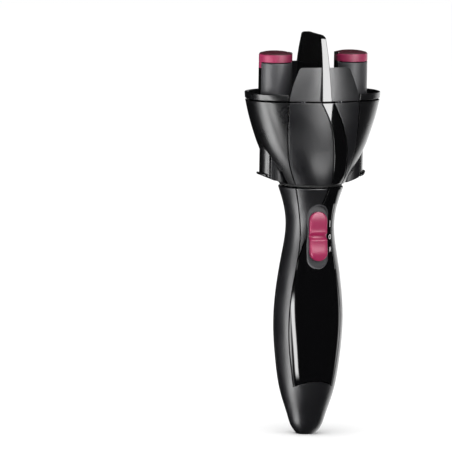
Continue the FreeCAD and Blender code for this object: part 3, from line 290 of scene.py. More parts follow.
def back_shell():
    bm = bmesh.new()
    edge_angle = math.radians(90 + JOIN)
    z0, z1 = DOOR_LOW - PARTING, DOOR_HIGH + PARTING
    low_angle = back_angle(DOOR_HALF - DOOR_CORNER + PARTING, z0)
    high_angle = back_angle(DOOR_HALF + PARTING, z1)

    def beside(s, t):
        z = mixed(z0, z1, t ** 1.5)
        border = back_angle(door_half(z + PARTING * (1 - t)) + PARTING, z)
        return on_handle(mixed(edge_angle, border, s), z)

    def above(a, b):
        return lambda s, t: on_handle(mixed(a, b, s), side_height(z1, t))

    def below(a, b):
        def spot(s, t):
            z, share = end_rows(t, z0)
            return on_handle(mixed(a, b, s), z, share)
        return spot

    for hand in (1, -1):
        for columns, rows, place in (
                (20, 70, beside),
                (20, 60, above(edge_angle, high_angle)), (18, 60, above(high_angle, math.pi)),
                (20, 44, below(edge_angle, low_angle)), (18, 44, below(low_angle, math.pi))):
            verts = patch(bm, columns, rows, place)
            bmesh.ops.scale(bm, vec=(hand, 1, 1), verts=verts)
    round_top(bm)
    finish_piece("handle_back", bm, "handle", [satin_abs], ["handle_back_shell"], "satin_black",
                 wall=HANDLE_WALL, edge=SHELL_EDGE)


back_shell()


# ---- battery door --------------------------------------------------------------------------------
# Satin ABS cover over the two cells. It hooks in under the shell at the top and has a finger notch
# at the bottom.
NOTCH_R, NOTCH_RISE, NOTCH_DEPTH = 9.0, 5.0, 1.3


def battery_door():
    bm = bmesh.new()
    notch_z = DOOR_LOW + NOTCH_RISE
    notch_y = on_handle(math.pi, notch_z).y + NOTCH_R - NOTCH_DEPTH

    def cover(s, t):
        z = mixed(DOOR_LOW, DOOR_HIGH, t ** 1.5)
        half = math.pi - back_angle(door_half(z), z)
        p = on_handle(math.pi + mixed(half, -half, s), z)
        reach = NOTCH_R ** 2 - p.x ** 2 - (p.z - notch_z) ** 2
        if reach > 0:
            p.y = min(p.y, notch_y - math.sqrt(reach))
        return p

    patch(bm, 60, 110, cover)
    finish_piece("battery_cover", bm, "door", [satin_abs], ["battery_door"], "satin_black",
                 wall=HANDLE_WALL, edge=SHELL_EDGE)


battery_door()


# ---- front panels --------------------------------------------------------------------------------
# Two inlays snapped in the front shell: a long one in polished ABS, and a satin one beside the
# switch. They meet on the sweep that crosses the neck.
PANEL_WALL = 1.1
SWITCH_HEIGHT = HANDLE_TOP - 31.3
HOLE_R, HOLE_STRAIGHT = 7.2, 13.8
HOLE_LOW, HOLE_HIGH = SWITCH_HEIGHT - HOLE_STRAIGHT - HOLE_R, SWITCH_HEIGHT + HOLE_STRAIGHT + HOLE_R

# polished mould, so the ABS is glass smooth: deep black with sharp reflections
gloss_abs = moulded("abs_polished_black", "#070708", 0.055, 0.9, 0.0006, tone=1.15, spread=0.012)


def hole_half(z):
    """Half width of the switch opening at a height."""
    over = abs(z - SWITCH_HEIGHT) - HOLE_STRAIGHT
    if over <= 0:
        return HOLE_R
    return math.sqrt(max(0.0, HOLE_R ** 2 - over ** 2))


def meeting(low, high, above):
    """Height between low and high at which above(z) turns true."""
    for _ in range(40):
        middle = (low + high) / 2
        low, high = (low, middle) if above(middle) else (middle, high)
    return high


# heights at which the sweep leaves the panel's side seam, and crosses the switch opening's left side
SWEEP_LOW = meeting(HANDLE_TOP * 0.5, HANDLE_TOP * 0.78, lambda z: neck_sweep(z) > -panel_seam(z))
SWEEP_IN = meeting(SWEEP_LOW, HANDLE_TOP * 0.87, lambda z: neck_sweep(z) > -HOLE_R)


def panel_strip(bm, columns, rows, low, high, left, right, ease=1.0):
    """Part of a panel between two borders that vary with the height."""
    def spot(s, t):
        z = side_height(low, t, 0.75) if high == HANDLE_TOP else mixed(low, high, 1 - (1 - t) ** ease)
        a, b = handle_angle(left(z), z), handle_angle(right(z), z)
        return on_handle(mixed(a, max(a, b), s), z)
    patch(bm, columns, rows, spot)


def panel_left(z):
    return -panel_seam(z) + SEAM


def panel_right(z):
    return panel_seam(z) - SEAM


def neck_panel():
    """Satin panel, left of the sweep and of the switch."""
    bm = bmesh.new()

    def beside_switch(z):
        inside = HOLE_LOW < z < HOLE_HIGH and neck_sweep(z) > -hole_half(z)
        return -hole_half(z) if inside else neck_sweep(z) - SEAM

    panel_strip(bm, 24, 60, SWEEP_LOW, HOLE_HIGH, panel_left, beside_switch, ease=2.2)
    panel_strip(bm, 24, 32, HOLE_HIGH, HANDLE_TOP, panel_left, lambda z: neck_sweep(z) - SEAM)
    round_top(bm)
    finish_piece("neck_inlay", bm, "handle", [satin_abs], ["neck_panel"], "satin_black",
                 wall=PANEL_WALL, edge=0.16)


def front_panel():
    """Polished panel: below the switch, up its right side, and a wedge up its left side."""
    bm = bmesh.new()

    def half_below(side):
        def spot(s, t):
            z = mixed(panel_arch(panel_right(PANEL_LOW) * s) + SEAM, HOLE_LOW, t)
            return on_handle(side * handle_angle(panel_right(z), z) * s, z)
        patch(bm, 22, 90, spot)

    half_below(1)
    half_below(-1)
    panel_strip(bm, 22, 66, HOLE_LOW, HOLE_HIGH, hole_half, panel_right)
    panel_strip(bm, 22, 32, HOLE_HIGH, HANDLE_TOP, lambda z: max(0.0, neck_sweep(z) + SEAM), panel_right)
    panel_strip(bm, 22, 34, HOLE_LOW, SWEEP_IN, lambda z: max(neck_sweep(z), -panel_seam(z)) + SEAM,
                lambda z: -hole_half(z))
    round_top(bm)
    finish_piece("front_inlay", bm, "handle", [gloss_abs], ["front_panel"], "gloss_black",
                 wall=PANEL_WALL, edge=0.3)


neck_panel()
front_panel()


# ---- switch --------------------------------------------------------------------------------------
# Charcoal tray let in the neck, with a magenta slider in it. The slider has an upper and a lower pad
# with a pinched waist between them for the thumb. I, O and II are printed beside it in white.
SLIDER_LOW, SLIDER_HIGH = (corner.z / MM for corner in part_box("switch_slider"))
SLIDER_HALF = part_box("switch_slider")[1].x / MM
TRAY_FLOOR, TRAY_TILT = 15.1, math.radians(2.6)
# share of the slider's half length, lift above its edge: lower pad, waist with a low ridge, upper pad
SLIDER_CREST = [(-1.0, 3.0), (-0.84, 4.2), (-0.5, 3.9), (-0.2, 3.4), (-0.14, 3.2), (-0.08, 2.15), (0.0, 1.75),
                (0.08, 2.0), (0.13, 2.75), (0.2, 2.85), (0.5, 3.0), (0.84, 2.9), (1.0, 2.1)]
SLIDER_FOOT = 0.2              # its edge stands off the tray by this much
WAIST_SHARE, WAIST_DROP = 0.12, 1.5
MARK_X, MARK_STAND = 9.15, 0.03        # beside the slider, and ink over the panel
MARK_I, MARK_O, MARK_II = (5.6, 9.8), -0.7, (-10.1, -7.1)      # heights from the switch's middle
END_POWER = 2.15               # power of the oval that ends it above and below

# plain matt mould face, a shade lighter than the shells
charcoal_abs = moulded("abs_matt_charcoal", "#39393C", 0.47, 0.5, 0.02)
# fine-grained magenta ABS with a soft gloss
magenta_abs = moulded("abs_magenta", "#98144B", 0.50, 0.5, 0.008, tone=1.08)
# the slider's own mould is polished further, for crisper lights on its pads
slick_magenta = moulded("abs_magenta_polished", "#98144B", 0.36, 0.5, 0.006, tone=1.06, spread=0.02)
# pad-printed ink, slightly worn so that its edges soften
white_ink = moulded("ink_white", "#E4E4E4", 0.5, 0.25, 0.004, tone=1.0)


def switch_slider():
    bm = bmesh.new()
    middle = (SLIDER_LOW + SLIDER_HIGH) / 2
    half = (SLIDER_HIGH - SLIDER_LOW) / 2
    crest = smooth_run(SLIDER_CREST)

    def closer_at_ends(k):
        if abs(k) > 0.5:
            return math.copysign(1 - (1 - abs(k)) ** 1.5, k)
        return k * (1 - 0.5 ** 1.5) / 0.5

    def pad(s, t):
        k = closer_at_ends(2 * t - 1)
        over = max(0.0, abs(k) * half - (half - SLIDER_HALF)) / SLIDER_HALF
        width = SLIDER_HALF * max(0.0, 1 - over ** END_POWER) ** (1 / END_POWER)
        turn = math.pi * (1 - s)
        x = width * math.copysign(abs(math.cos(turn)) ** 0.28, math.cos(turn))
        lift = SLIDER_FOOT + max(0.3, crest(k)) * math.sin(turn) ** 0.3
        drop = WAIST_DROP * max(0.0, 1 - abs(k) / WAIST_SHARE) * abs(x / SLIDER_HALF) ** 1.6
        return Vector((x, -TRAY_FLOOR - max(SLIDER_FOOT, lift - drop), middle + k * half))

    verts = patch(bm, 48, 110, pad)
    bmesh.ops.rotate(bm, cent=(0, -TRAY_FLOOR, SWITCH_HEIGHT), matrix=Matrix.Rotation(-TRAY_TILT, 3, "X"),
                     verts=verts)
    bmesh.ops.holes_fill(bm, edges=bm.edges, sides=0)
    finish_piece("slider", bm, "slider", [slick_magenta], ["switch_slider"], "magenta")


switch_slider()


def switch_marks():
    bm = bmesh.new()

    def on_panel(x, z):
        p = on_handle(handle_angle(x, z), z)
        return p + Vector((p.x, p.y, 0)).normalized() * MARK_STAND

    def stroke(x, low, high, width):
        z0, z1 = SWITCH_HEIGHT + low, SWITCH_HEIGHT + high
        patch(bm, 4, 10, lambda s, t: on_panel(x + mixed(-width, width, s) / 2, mixed(z0, z1, t)))

    def loop(middle, radius_x, radius_z, width):
        def spot(s, t):
            turn = 2 * math.pi * t
            return on_panel(MARK_X + (radius_x - width * s) * math.cos(turn),
                            SWITCH_HEIGHT + middle + (radius_z - width * s) * math.sin(turn))
        patch(bm, 2, 32, spot)

    stroke(MARK_X, *MARK_I, 0.4)
    loop(MARK_O, 0.95, 1.55, 0.34)
    for shift in (-0.5, 0.5):
        stroke(MARK_X + shift, *MARK_II, 0.3)
    finish_piece("switch_marks", bm, "handle", [white_ink], wall=0.02)


switch_marks()


# ---- petals and sweeps ---------------------------------------------------------------------------
# The rotor head is a tulip of four moulded casings round its core. Front and rear are satin petals,
# and each carries a polished inlay that runs on from the fin in a curve.
HEAD_WALL, INLAY_DEPTH, HEAD_EDGE = 2.0, 1.0, 0.3
NECK_R = handle_width(HANDLE_TOP)
HEAD_BASE = HANDLE_TOP + 0.8
HEAD_LOW = HEAD_BASE + 1.5
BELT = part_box("front_petal")[1].z / MM + 0.15
CROWN_BASE = BELT + 0.75
BELT_HALF, BELT_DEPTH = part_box("right_wing")[1].x / MM, -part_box("front_petal")[0].y / MM
SHIELD_HALF = 24.0             # half width of petals and shields where they meet at the belt
# share of the height, share of the growth in width and in depth, power of the plan's oval
HEAD_FORM = [(0.00, 0.000, 0.00, 2.0), (0.12, 0.170, 0.27, 2.1), (0.25, 0.345, 0.50, 2.2),
             (0.45, 0.585, 0.69, 2.3), (0.62, 0.742, 0.82, 2.3), (0.80, 0.882, 0.92, 2.3),
             (1.00, 1.000, 1.00, 2.3)]
# share of the height, share of SHIELD_HALF: side seam of a petal, then both sides of its sweep
PETAL_SEAM = [(0.0, 0.625), (0.26, 0.865), (0.52, 0.965), (1.0, 1.0)]
SWEEP_LEFT = [(0.0, 0.292), (0.38, 0.295), (0.58, 0.245), (0.78, 0.13), (1.0, -0.125)]
SWEEP_RIGHT = [(0.0, 0.72), (0.18, 0.72), (0.41, 0.70), (0.63, 0.60), (1.0, 0.235)]


def head_height(share):
    return HEAD_BASE + (BELT - HEAD_BASE) * share


head_a = smooth_run([(head_height(h), NECK_R + (BELT_HALF - NECK_R) * w) for h, w, d, n in HEAD_FORM])
head_b = smooth_run([(head_height(h), NECK_R + (BELT_DEPTH - NECK_R) * d) for h, w, d, n in HEAD_FORM])
head_n = smooth_run([(head_height(h), n) for h, w, d, n in HEAD_FORM])
petal_seam = smooth_run([(head_height(h), w * SHIELD_HALF) for h, w in PETAL_SEAM])
sweep_left = smooth_run([(head_height(h), w * SHIELD_HALF) for h, w in SWEEP_LEFT])
sweep_right = smooth_run([(head_height(h), w * SHIELD_HALF) for h, w in SWEEP_RIGHT])


def oval_front(x, z, a, b, n):
    """Front point of an oval plan, above or below a given x."""
    return Vector((x, -b * max(0.0, 1 - abs(x / a) ** n) ** (1 / n), z))


def oval_round(angle, z, a, b, n):
    """Point of an oval plan at a turn from +X towards the front."""
    c, s = math.cos(angle), math.sin(angle)
    return Vector((a * math.copysign(abs(c) ** (2 / n), c), -b * math.copysign(abs(s) ** (2 / n), s), z))


def on_head(x, z):
    return oval_front(x, z, head_a(z), head_b(z), head_n(z))


def turned(verts, bm):
    """Half a turn about the device's axis."""
    bmesh.ops.rotate(bm, cent=(0, 0, 0), matrix=Matrix.Rotation(math.pi, 3, "Z"), verts=verts)


def head_strip(bm, columns, rows, low, left, right):
    """Part of the head's front from a height up to the belt, between two borders."""
    def spot(s, t):
        z = mixed(low, BELT - SEAM, t)
        return on_head(mixed(left(z), right(z), s), z)
    patch(bm, columns, rows, spot)


def petal(end):
    bm = bmesh.new()
    narrow = meeting(HEAD_LOW, BELT, lambda z: sweep_right(z) < petal_seam(z) - 2 * SEAM)
    head_strip(bm, 44, 80, HEAD_LOW, lambda z: -petal_seam(z) + SEAM, lambda z: sweep_left(z) - SEAM)
    head_strip(bm, 24, 60, narrow, lambda z: sweep_right(z) + SEAM, lambda z: petal_seam(z) - SEAM)
    if end == "rear":
        turned(bm.verts, bm)
    finish_piece(end + "_casing", bm, "head", [satin_abs], [end + "_petal"], "satin_black",
                 wall=HEAD_WALL, edge=HEAD_EDGE)


def sweep(end):
    bm = bmesh.new()
    head_strip(bm, 24, 80, HEAD_LOW, lambda z: sweep_left(z) + SEAM,
               lambda z: min(sweep_right(z), petal_seam(z)) - SEAM)
    if end == "rear":
        turned(bm.verts, bm)
    finish_piece(end + "_inlay_sweep", bm, "head", [gloss_abs], [end + "_sweep"], "gloss_black",
                 wall=INLAY_DEPTH, edge=HEAD_EDGE)


for end in ("front", "rear"):
    petal(end)
    sweep(end)


# ---- wings ---------------------------------------------------------------------------------------
# Smooth side casings of the head. Each is open below round the tail of its hair tube, which reaches
# down outside the neck, and the opening widens at the foot for the tail's lip.
TUBE_X, TAIL_R, LIP_OUT = 25.6, 9.2, 1.8
CHANNEL_GAP, LIP_ZONE = 0.85, HANDLE_TOP + 10.6
CHANNEL_TOP = BELT - 22.0      # above the channel's highest point

# semi-polished mould: broad, clean highlights without grain
smooth_abs = moulded("abs_semi_polished_black", "#0D0D0F", 0.29, 0.7, 0.002, tone=1.15, spread=0.03)


def on_wing(s, z):
    a, n = head_a(z), head_n(z)
    border = math.acos(min(1.0, ((petal_seam(z) + SEAM) / a) ** (n / 2)))
    return oval_round(mixed(-border, border, s), z, a, head_b(z), n)


def in_channel(s, z):
    p = on_wing(s, z)
    r = TAIL_R + CHANNEL_GAP + (LIP_OUT if z < LIP_ZONE else 0)
    return math.hypot(p.x - TUBE_X, p.y) < r


def wing_low_end(s):
    """Where a column of the wing meets the channel, or the neck."""
    z = CHANNEL_TOP
    while z > HEAD_LOW and not in_channel(s, z):
        z -= 0.5
    if z <= HEAD_LOW:
        return HEAD_LOW
    return meeting(z, z + 0.5, lambda h: not in_channel(s, h))


def wing(side, columns=120):
    bm = bmesh.new()
    ends = [wing_low_end(i / columns) for i in range(columns + 1)]
    patch(bm, columns, 80, lambda s, t: on_wing(s, mixed(ends[round(s * columns)], BELT - SEAM, t)))
    if side == "left":
        turned(bm.verts, bm)
    finish_piece(side + "_casing", bm, "head", [smooth_abs], [side + "_wing"], "smooth_black",
                 wall=0.7, edge=HEAD_EDGE, steps=3)


for side in ("right", "left"):
    wing(side)


# ---- crown ---------------------------------------------------------------------------------------
# One smooth moulding over the gears: a plate with a bearing for each tube, and the raised rim of a
# cup on each side with a small step inside it.
RIM, RIM_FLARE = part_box("crown")[1].z / MM, 0.5
PLATE_TOP, PLATE_LOW, PLATE_INSET = BELT - 1.5, BELT - 4.0, 4.05
CUP_STEP = BELT + 2.2
BELT_POWER = HEAD_FORM[-1][3]
TUBE_R = 10.8
HAIRLINE, RIM_GAP = 0.05, 0.15         # gaps round parts that fit flush, and beside the shields
# inset from the head's outline, height: round a section of the rim, from its foot
RIM_SECTION = [(0.35, CROWN_BASE), (0.0, CROWN_BASE + 0.35), (0.0, RIM - 0.6), (0.18, RIM - 0.15), (0.6, RIM),
               (1.6, RIM), (1.9, RIM - 0.15), (2.0, RIM - 0.6), (2.0, CUP_STEP + 0.2), (2.2, CUP_STEP),
               (3.8, CUP_STEP), (4.0, CUP_STEP - 0.2), (4.0, PLATE_TOP), (2.4, PLATE_TOP), (2.4, CROWN_BASE),
               (0.35, CROWN_BASE)]


def along(section, t):
    """Point of a run of points at a share of its steps, even within each step."""
    where = t * (len(section) - 1)
    i = min(int(where), len(section) - 2)
    return [mixed(section[i][k], section[i + 1][k], where - i) for k in (0, 1)]


def crown():
    bm = bmesh.new()

    def rim(s, t):
        inset, z = along(RIM_SECTION, t)
        a = BELT_HALF + RIM_FLARE * max(0.0, (z - BELT) / (RIM - BELT)) - inset
        end = math.acos(((SHIELD_HALF + RIM_GAP) / a) ** (BELT_POWER / 2))
        return oval_round(mixed(-end, end, s), z, a, BELT_DEPTH - inset, BELT_POWER)

    patch(bm, 96, (len(RIM_SECTION) - 1) * 2, rim)
    bmesh.ops.remove_doubles(bm, verts=bm.verts, dist=WELD)
    bmesh.ops.holes_fill(bm, edges=bm.edges, sides=0)
    other = bmesh.ops.duplicate(bm, geom=bm.verts[:] + bm.edges[:] + bm.faces[:])
    turned([v for v in other["geom"] if isinstance(v, bmesh.types.BMVert)], bm)
    bmesh.ops.recalc_face_normals(bm, faces=bm.faces)

    # the plate, drawn flat with its two bores, then given its thickness
    corners = 160
    outline = [bm.verts.new(oval_round(2 * math.pi * i / corners, PLATE_TOP, BELT_HALF - PLATE_INSET,
                                       BELT_DEPTH - PLATE_INSET, BELT_POWER)) for i in range(corners)]
    rings = [bm.edges.new((outline[i - 1], outline[i])) for i in range(corners)]
    for side in (1, -1):
        bore = bmesh.ops.create_circle(bm, cap_ends=False, segments=72, radius=TUBE_R + HAIRLINE)["verts"]
        bmesh.ops.translate(bm, vec=(side * TUBE_X, 0, PLATE_TOP), verts=bore)
        rings += list({e for v in bore for e in v.link_edges})
    plate = bmesh.ops.triangle_fill(bm, use_beauty=True, edges=rings)
    faces = [g for g in plate["geom"] if isinstance(g, bmesh.types.BMFace)]
    bmesh.ops.solidify(bm, geom=faces, thickness=PLATE_TOP - PLATE_LOW)
    finish_piece("gear_cover", bm, "head", [smooth_abs], ["crown"], "smooth_black")


crown()


# ---- shields -------------------------------------------------------------------------------------
# Curved satin guards, front and rear, that stand up from the belt and keep hair out of the gears.
# They lean in a little and narrow to a flat top with round corners.
SHIELD_LOW, SHIELD_TOP = CROWN_BASE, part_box("front_shield")[1].z / MM
SHIELD_CORNER = SHIELD_TOP - 3.0       # where the round corners start
SHIELD_MIDDLE = mixed(SHIELD_LOW, SHIELD_TOP, 0.52)
LEAN_SIDE, LEAN_FRONT = 5.0, 2.2       # how far its outline draws in from the belt to its top
CORNER_LEAN, CORNER_ROUND = 0.5, 2.8   # and its side in the round corner
shield_side = smooth_run([(SHIELD_LOW, SHIELD_HALF), (SHIELD_MIDDLE, 21.0), (SHIELD_CORNER, 17.9)])


def shield_half(z):
    """Half width of a shield at a height."""
    if z <= SHIELD_CORNER:
        return shield_side(z)
    rise = (z - SHIELD_CORNER) / (SHIELD_TOP - SHIELD_CORNER)
    rounding = CORNER_ROUND * (1 - math.sqrt(max(0.0, 1 - rise ** 2)))
    return shield_side(SHIELD_CORNER) - CORNER_LEAN * rise - rounding


def shield(end):
    bm = bmesh.new()

    def guard(s, t):
        z = mixed(SHIELD_LOW, SHIELD_TOP, 1 - (1 - t) ** 1.7)
        k = (z - BELT) / (SHIELD_TOP - BELT)
        a, b = BELT_HALF - LEAN_SIDE * k, BELT_DEPTH - LEAN_FRONT * k * (0.6 + 0.4 * k)
        return oval_front(mixed(-shield_half(z), shield_half(z), s), z, a, b, BELT_POWER)

    patch(bm, 90, 60, guard)
    if end == "rear":
        turned(bm.verts, bm)
    finish_piece(end + "_guard", bm, "head", [satin_abs], [end + "_shield"], "satin_black",
                 wall=HEAD_WALL, edge=0.35)


for end in ("front", "rear"):
    shield(end)


# ---- fin -----------------------------------------------------------------------------------------
# Polished blade that keeps the two strands apart. Its edges show in the middle of both shields, and
# it tapers towards its top.
FIN_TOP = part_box("fin")[1].z / MM
FIN_HALF_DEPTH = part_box("fin")[1].y / MM
FIN_HEIGHT, FIN_HALF_LOW, FIN_HALF_HIGH = 42.4, 3.3, 1.7
FIN_TAPER_OVER = 2.0           # the taper is drawn to this far above its top
# share of its half depth, share of its height: front edge, then the front half of its crest
FIN_EDGE = [(1.0, 0.0), (0.922, 0.33), (0.825, 0.64), (0.72, 0.85), (0.672, 0.93)]
FIN_CREST = [(0.655, 0.958), (0.60, 0.980), (0.30, 1.001)]


def fin():
    bm = bmesh.new()
    base, d = CROWN_BASE, FIN_HALF_DEPTH
    top = BELT + FIN_HEIGHT
    knots = [Vector((0, -d * w, mixed(base, top, h))) for w, h in FIN_EDGE + FIN_CREST + [(0.0, 1.0)]]
    knots += [Vector((0, -p.y, p.z)) for p in reversed(knots[:-1])]
    run = [0.0]
    for a, b in zip(knots, knots[1:]):
        run.append(run[-1] + (b - a).length)
    along_y = smooth_run([(r, p.y) for r, p in zip(run, knots)])
    along_z = smooth_run([(r, p.z) for r, p in zip(run, knots)])
    outline = [Vector((0, along_y(r), min(FIN_TOP, along_z(r)))) for r in np.linspace(0, run[-1], 260)]
    side = bm.faces.new([bm.verts.new(p) for p in outline])
    other = bmesh.ops.extrude_face_region(bm, geom=[side])
    far = {v for v in other["geom"] if isinstance(v, bmesh.types.BMVert)}
    for v in bm.verts:
        half = mixed(FIN_HALF_LOW, FIN_HALF_HIGH, (v.co.z - base) / (top + FIN_TAPER_OVER - base))
        v.co.x = half if v in far else -half
    finish_piece("divider", bm, "head", [gloss_abs], ["fin"], "gloss_black", edge=0.45, steps=3)


fin()


# ---- clips ---------------------------------------------------------------------------------------
# Sprung clip round the outer side of each hair tube: satin panels on a gloss shell, and below the
# head a finger tail with a lip. Pinching the tail opens the clip for a strand.
TUBE_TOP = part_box("right_cap")[1].z / MM
CAP_TIP = round(TUBE_TOP, 1)           # the frame's mesh ends 0.004 mm short of the dome's tip
CAP_BASE, CAP_SKIRT, CAP_LAP = CAP_TIP - 7.0, CAP_TIP - 11.0, 0.5
TAIL_END, LIP_RISE, LIP_SLOPE = HANDLE_TOP + 2.5, 5.7, math.tan(math.radians(21))
TAIL_MIDDLE = TAIL_END + LIP_RISE - (TAIL_R + LIP_OUT) * LIP_SLOPE
TAIL_HALF, TAIL_SLOT_HALF = 7.55, 8.0
SLOT_TOP = BELT - 24.2
TAIL_TOP, JOURNAL_TOP = SLOT_TOP - 1.5, SLOT_TOP + 7.0
FOOT_LOW, FOOT_TOP = BELT - 0.15, BELT + 1.3
STRIP_HALF, STRIP_FACE, STRIP_GAP = 3.7, 7.5, 0.2
RIB_HALF, RIB_FILL = 2.2, 0.97         # the rib fills this share of the gap between the panels
RIB_ANGLE = math.asin((RIB_HALF + HAIRLINE) / TUBE_R)
STRIP_ANGLE = math.pi - math.asin((STRIP_HALF + STRIP_GAP) / TUBE_R)
TAIL_ANGLE, SLOT_ANGLE = math.asin(TAIL_HALF / TAIL_R), math.asin(TAIL_SLOT_HALF / TAIL_R)
# out from the tail, up from its end: round the lip
LIP_SECTION = [(0.0, 0.0), (1.45, 0.0), (1.8, 0.35), (1.8, 1.1), (1.45, 1.5), (0.35, 1.55), (0.0, 2.0)]

# coarser spark finish in a lighter charcoal, so the panels stand out from the gloss parts round them
panel_abs = moulded("abs_coarse_charcoal", "#39393C", 0.50, 0.5, 0.05)


def around(angle, r, z):
    """Point of a tube at a turn from its outer side towards its front."""
    return Vector((TUBE_X + r * math.cos(angle), -r * math.sin(angle), z))


def tube_strip(bm, columns, rows, angles, r, heights):
    """Part of a tube's wall between two turns and two heights."""
    patch(bm, columns, rows, lambda s, t: around(mixed(*angles, s), r, mixed(*heights, t)))


def finish_on_tube(side, name, bm, body, materials, **settings):
    """A tube's piece is drawn on the right; the left one is the same, half a turn round the head."""
    if side == "left":
        turned(bm.verts, bm)
    axis_x = TUBE_X if side == "right" else -TUBE_X
    finish_piece(side + name, bm, side + body, materials, axis_x=axis_x, **settings)


def clip_panels(side):
    for front in (1, -1):
        bm = bmesh.new()
        tube_strip(bm, 44, 30, (front * RIB_ANGLE, front * STRIP_ANGLE), TUBE_R,
                   (FOOT_TOP + HAIRLINE, CAP_BASE - CAP_LAP))
        face = "front" if (front > 0) == (side == "right") else "rear"
        finish_on_tube(side, "_%s_clip_panel" % face, bm, "_clip", [panel_abs], slot="satin_black",
                       stands_for=["%s_%s_jaw_panel" % (side, face)], wall=0.8, edge=0.25)


def clip_shell(side):
    """Gloss shell under the panels: a foot ring, and a rib up the outer side."""
    bm = bmesh.new()
    tube_strip(bm, 96, 4, (-STRIP_ANGLE, STRIP_ANGLE), TUBE_R, (FOOT_LOW, FOOT_TOP))
    tube_strip(bm, 8, 40, (-RIB_ANGLE * RIB_FILL, RIB_ANGLE * RIB_FILL), TUBE_R, (FOOT_TOP, CAP_SKIRT))
    finish_on_tube(side, "_clip_shell", bm, "_clip", [gloss_abs], stands_for=[side + "_jaw"],
                   slot="gloss_black", wall=1.5, edge=0.2)


def tail_plane(p):
    """Height of the slanting plane that the tail's lip lies in."""
    return TAIL_MIDDLE + (p.x - TUBE_X) * LIP_SLOPE


def on_tail(angle, top, t):
    """Point of the tail's wall; its lower end follows the slant."""
    p = around(angle, TAIL_R, 0)
    p.z = mixed(max(TAIL_END, tail_plane(p)), top, t)
    return p


def finger_tail(side):
    bm = bmesh.new()
    patch(bm, 40, 40, lambda s, t: on_tail(mixed(-TAIL_ANGLE, TAIL_ANGLE, s), TAIL_TOP, t))
    finish_on_tube(side, "_finger_tail", bm, "_clip", [smooth_abs], slot="smooth_black", wall=1.6, edge=0.3)


def finger_lip(side):
    bm = bmesh.new()

    def lip(s, t):
        out, up = along(LIP_SECTION, t)
        y = mixed(-TAIL_HALF, TAIL_HALF, s)
        p = Vector((TUBE_X + math.sqrt((TAIL_R - 0.1 + out) ** 2 - y ** 2), -y, 0))
        p.z = tail_plane(p) + up
        return p

    patch(bm, 40, 18, lip)
    finish_on_tube(side, "_finger_lip", bm, "_clip", [smooth_abs], slot="smooth_black", wall=0.05)


for side in ("right", "left"):
    clip_panels(side)
    clip_shell(side)
    finger_tail(side)
    finger_lip(side)


# ---- spools --------------------------------------------------------------------------------------
# The turning tube inside each clip: a satin tail with a slot for the clip's tail, a collar that seats
# in the crown's plate, and a gloss strip on the inner side that is the fixed jaw.
COLLAR_LOW, COLLAR_TOP = BELT - 4.6, BELT - 1.5
COLLAR_SECTION = [(9.9, COLLAR_LOW), (TUBE_R, COLLAR_LOW), (TUBE_R, COLLAR_TOP - 0.25),
                  (TUBE_R - 0.25, COLLAR_TOP), (9.2, COLLAR_TOP)]


def spool_sleeve(side):
    bm = bmesh.new()
    round_back = (SLOT_ANGLE, 2 * math.pi - SLOT_ANGLE)
    patch(bm, 90, 40, lambda s, t: on_tail(mixed(*round_back, s), SLOT_TOP, t))
    tube_strip(bm, 90, 6, round_back, TAIL_R, (SLOT_TOP, JOURNAL_TOP))
    tube_strip(bm, 40, 6, (-SLOT_ANGLE, SLOT_ANGLE), TAIL_R, (SLOT_TOP, JOURNAL_TOP))
    finish_on_tube(side, "_sleeve", bm, "_tube", [satin_abs], stands_for=[side + "_spool"],
                   slot="satin_black", wall=0.4, edge=0.1)


def fixed_jaw(side):
    bm = bmesh.new()
    bmesh.ops.create_cube(bm, size=1.0)
    across = [e for e in bm.edges if abs((e.verts[0].co - e.verts[1].co).y) > 0.5]
    bmesh.ops.subdivide_edges(bm, edges=across, cuts=12, use_grid_fill=True)
    for v in bm.verts:
        y = v.co.y * 2 * STRIP_HALF
        x = -math.sqrt(TUBE_R ** 2 - y ** 2) if v.co.x < 0 else -STRIP_FACE
        v.co = Vector((TUBE_X + x, y, TUBE_TOP - 1.2 if v.co.z > 0 else COLLAR_LOW))
    finish_on_tube(side, "_fixed_jaw", bm, "_tube", [gloss_abs], slot="gloss_black", edge=0.35, steps=3)


def spun(bm, section, closed=False):
    """Turns a run of (radius, height) points round the upright axis; returns the new faces."""
    points = [bm.verts.new((r, 0, z)) for r, z in section]
    edges = [bm.edges.new(pair) for pair in zip(points, points[1:])]
    if closed:
        edges.append(bm.edges.new((points[-1], points[0])))
    before = set(bm.faces)
    bmesh.ops.spin(bm, geom=points + edges, cent=(0, 0, 0), axis=(0, 0, 1), angle=2 * math.pi, steps=96,
                   use_merge=True)
    return set(bm.faces) - before


def collar(side):
    bm = bmesh.new()
    spun(bm, COLLAR_SECTION, closed=True)
    bmesh.ops.translate(bm, vec=(TUBE_X, 0, 0), verts=bm.verts)
    finish_on_tube(side, "_collar", bm, "_tube", [gloss_abs], slot="gloss_black")


for side in ("right", "left"):
    spool_sleeve(side)
    fixed_jaw(side)
    collar(side)


# ---- caps ----------------------------------------------------------------------------------------
# Magenta cap on each clip: a straight wall with a tongue down the rib, and a slightly domed top
# that is painted darker as shade, since it faces up, away from the lights.
CAP_WALL = [(TUBE_R - 3.0, CAP_BASE), (TUBE_R - 0.3, CAP_BASE), (TUBE_R, CAP_BASE + 0.3),
            (TUBE_R, TUBE_TOP - 2.5), (TUBE_R - 0.12, TUBE_TOP - 2.1)]
CAP_DOME = [(TUBE_R - 0.12, TUBE_TOP - 2.1), (TUBE_R - 0.5, TUBE_TOP - 1.55), (TUBE_R - 1.2, TUBE_TOP - 1.2),
            (TUBE_R * 0.7, TUBE_TOP - 0.68), (TUBE_R * 0.45, TUBE_TOP - 0.28),
            (TUBE_R * 0.2, TUBE_TOP - 0.06), (0.0, TUBE_TOP)]
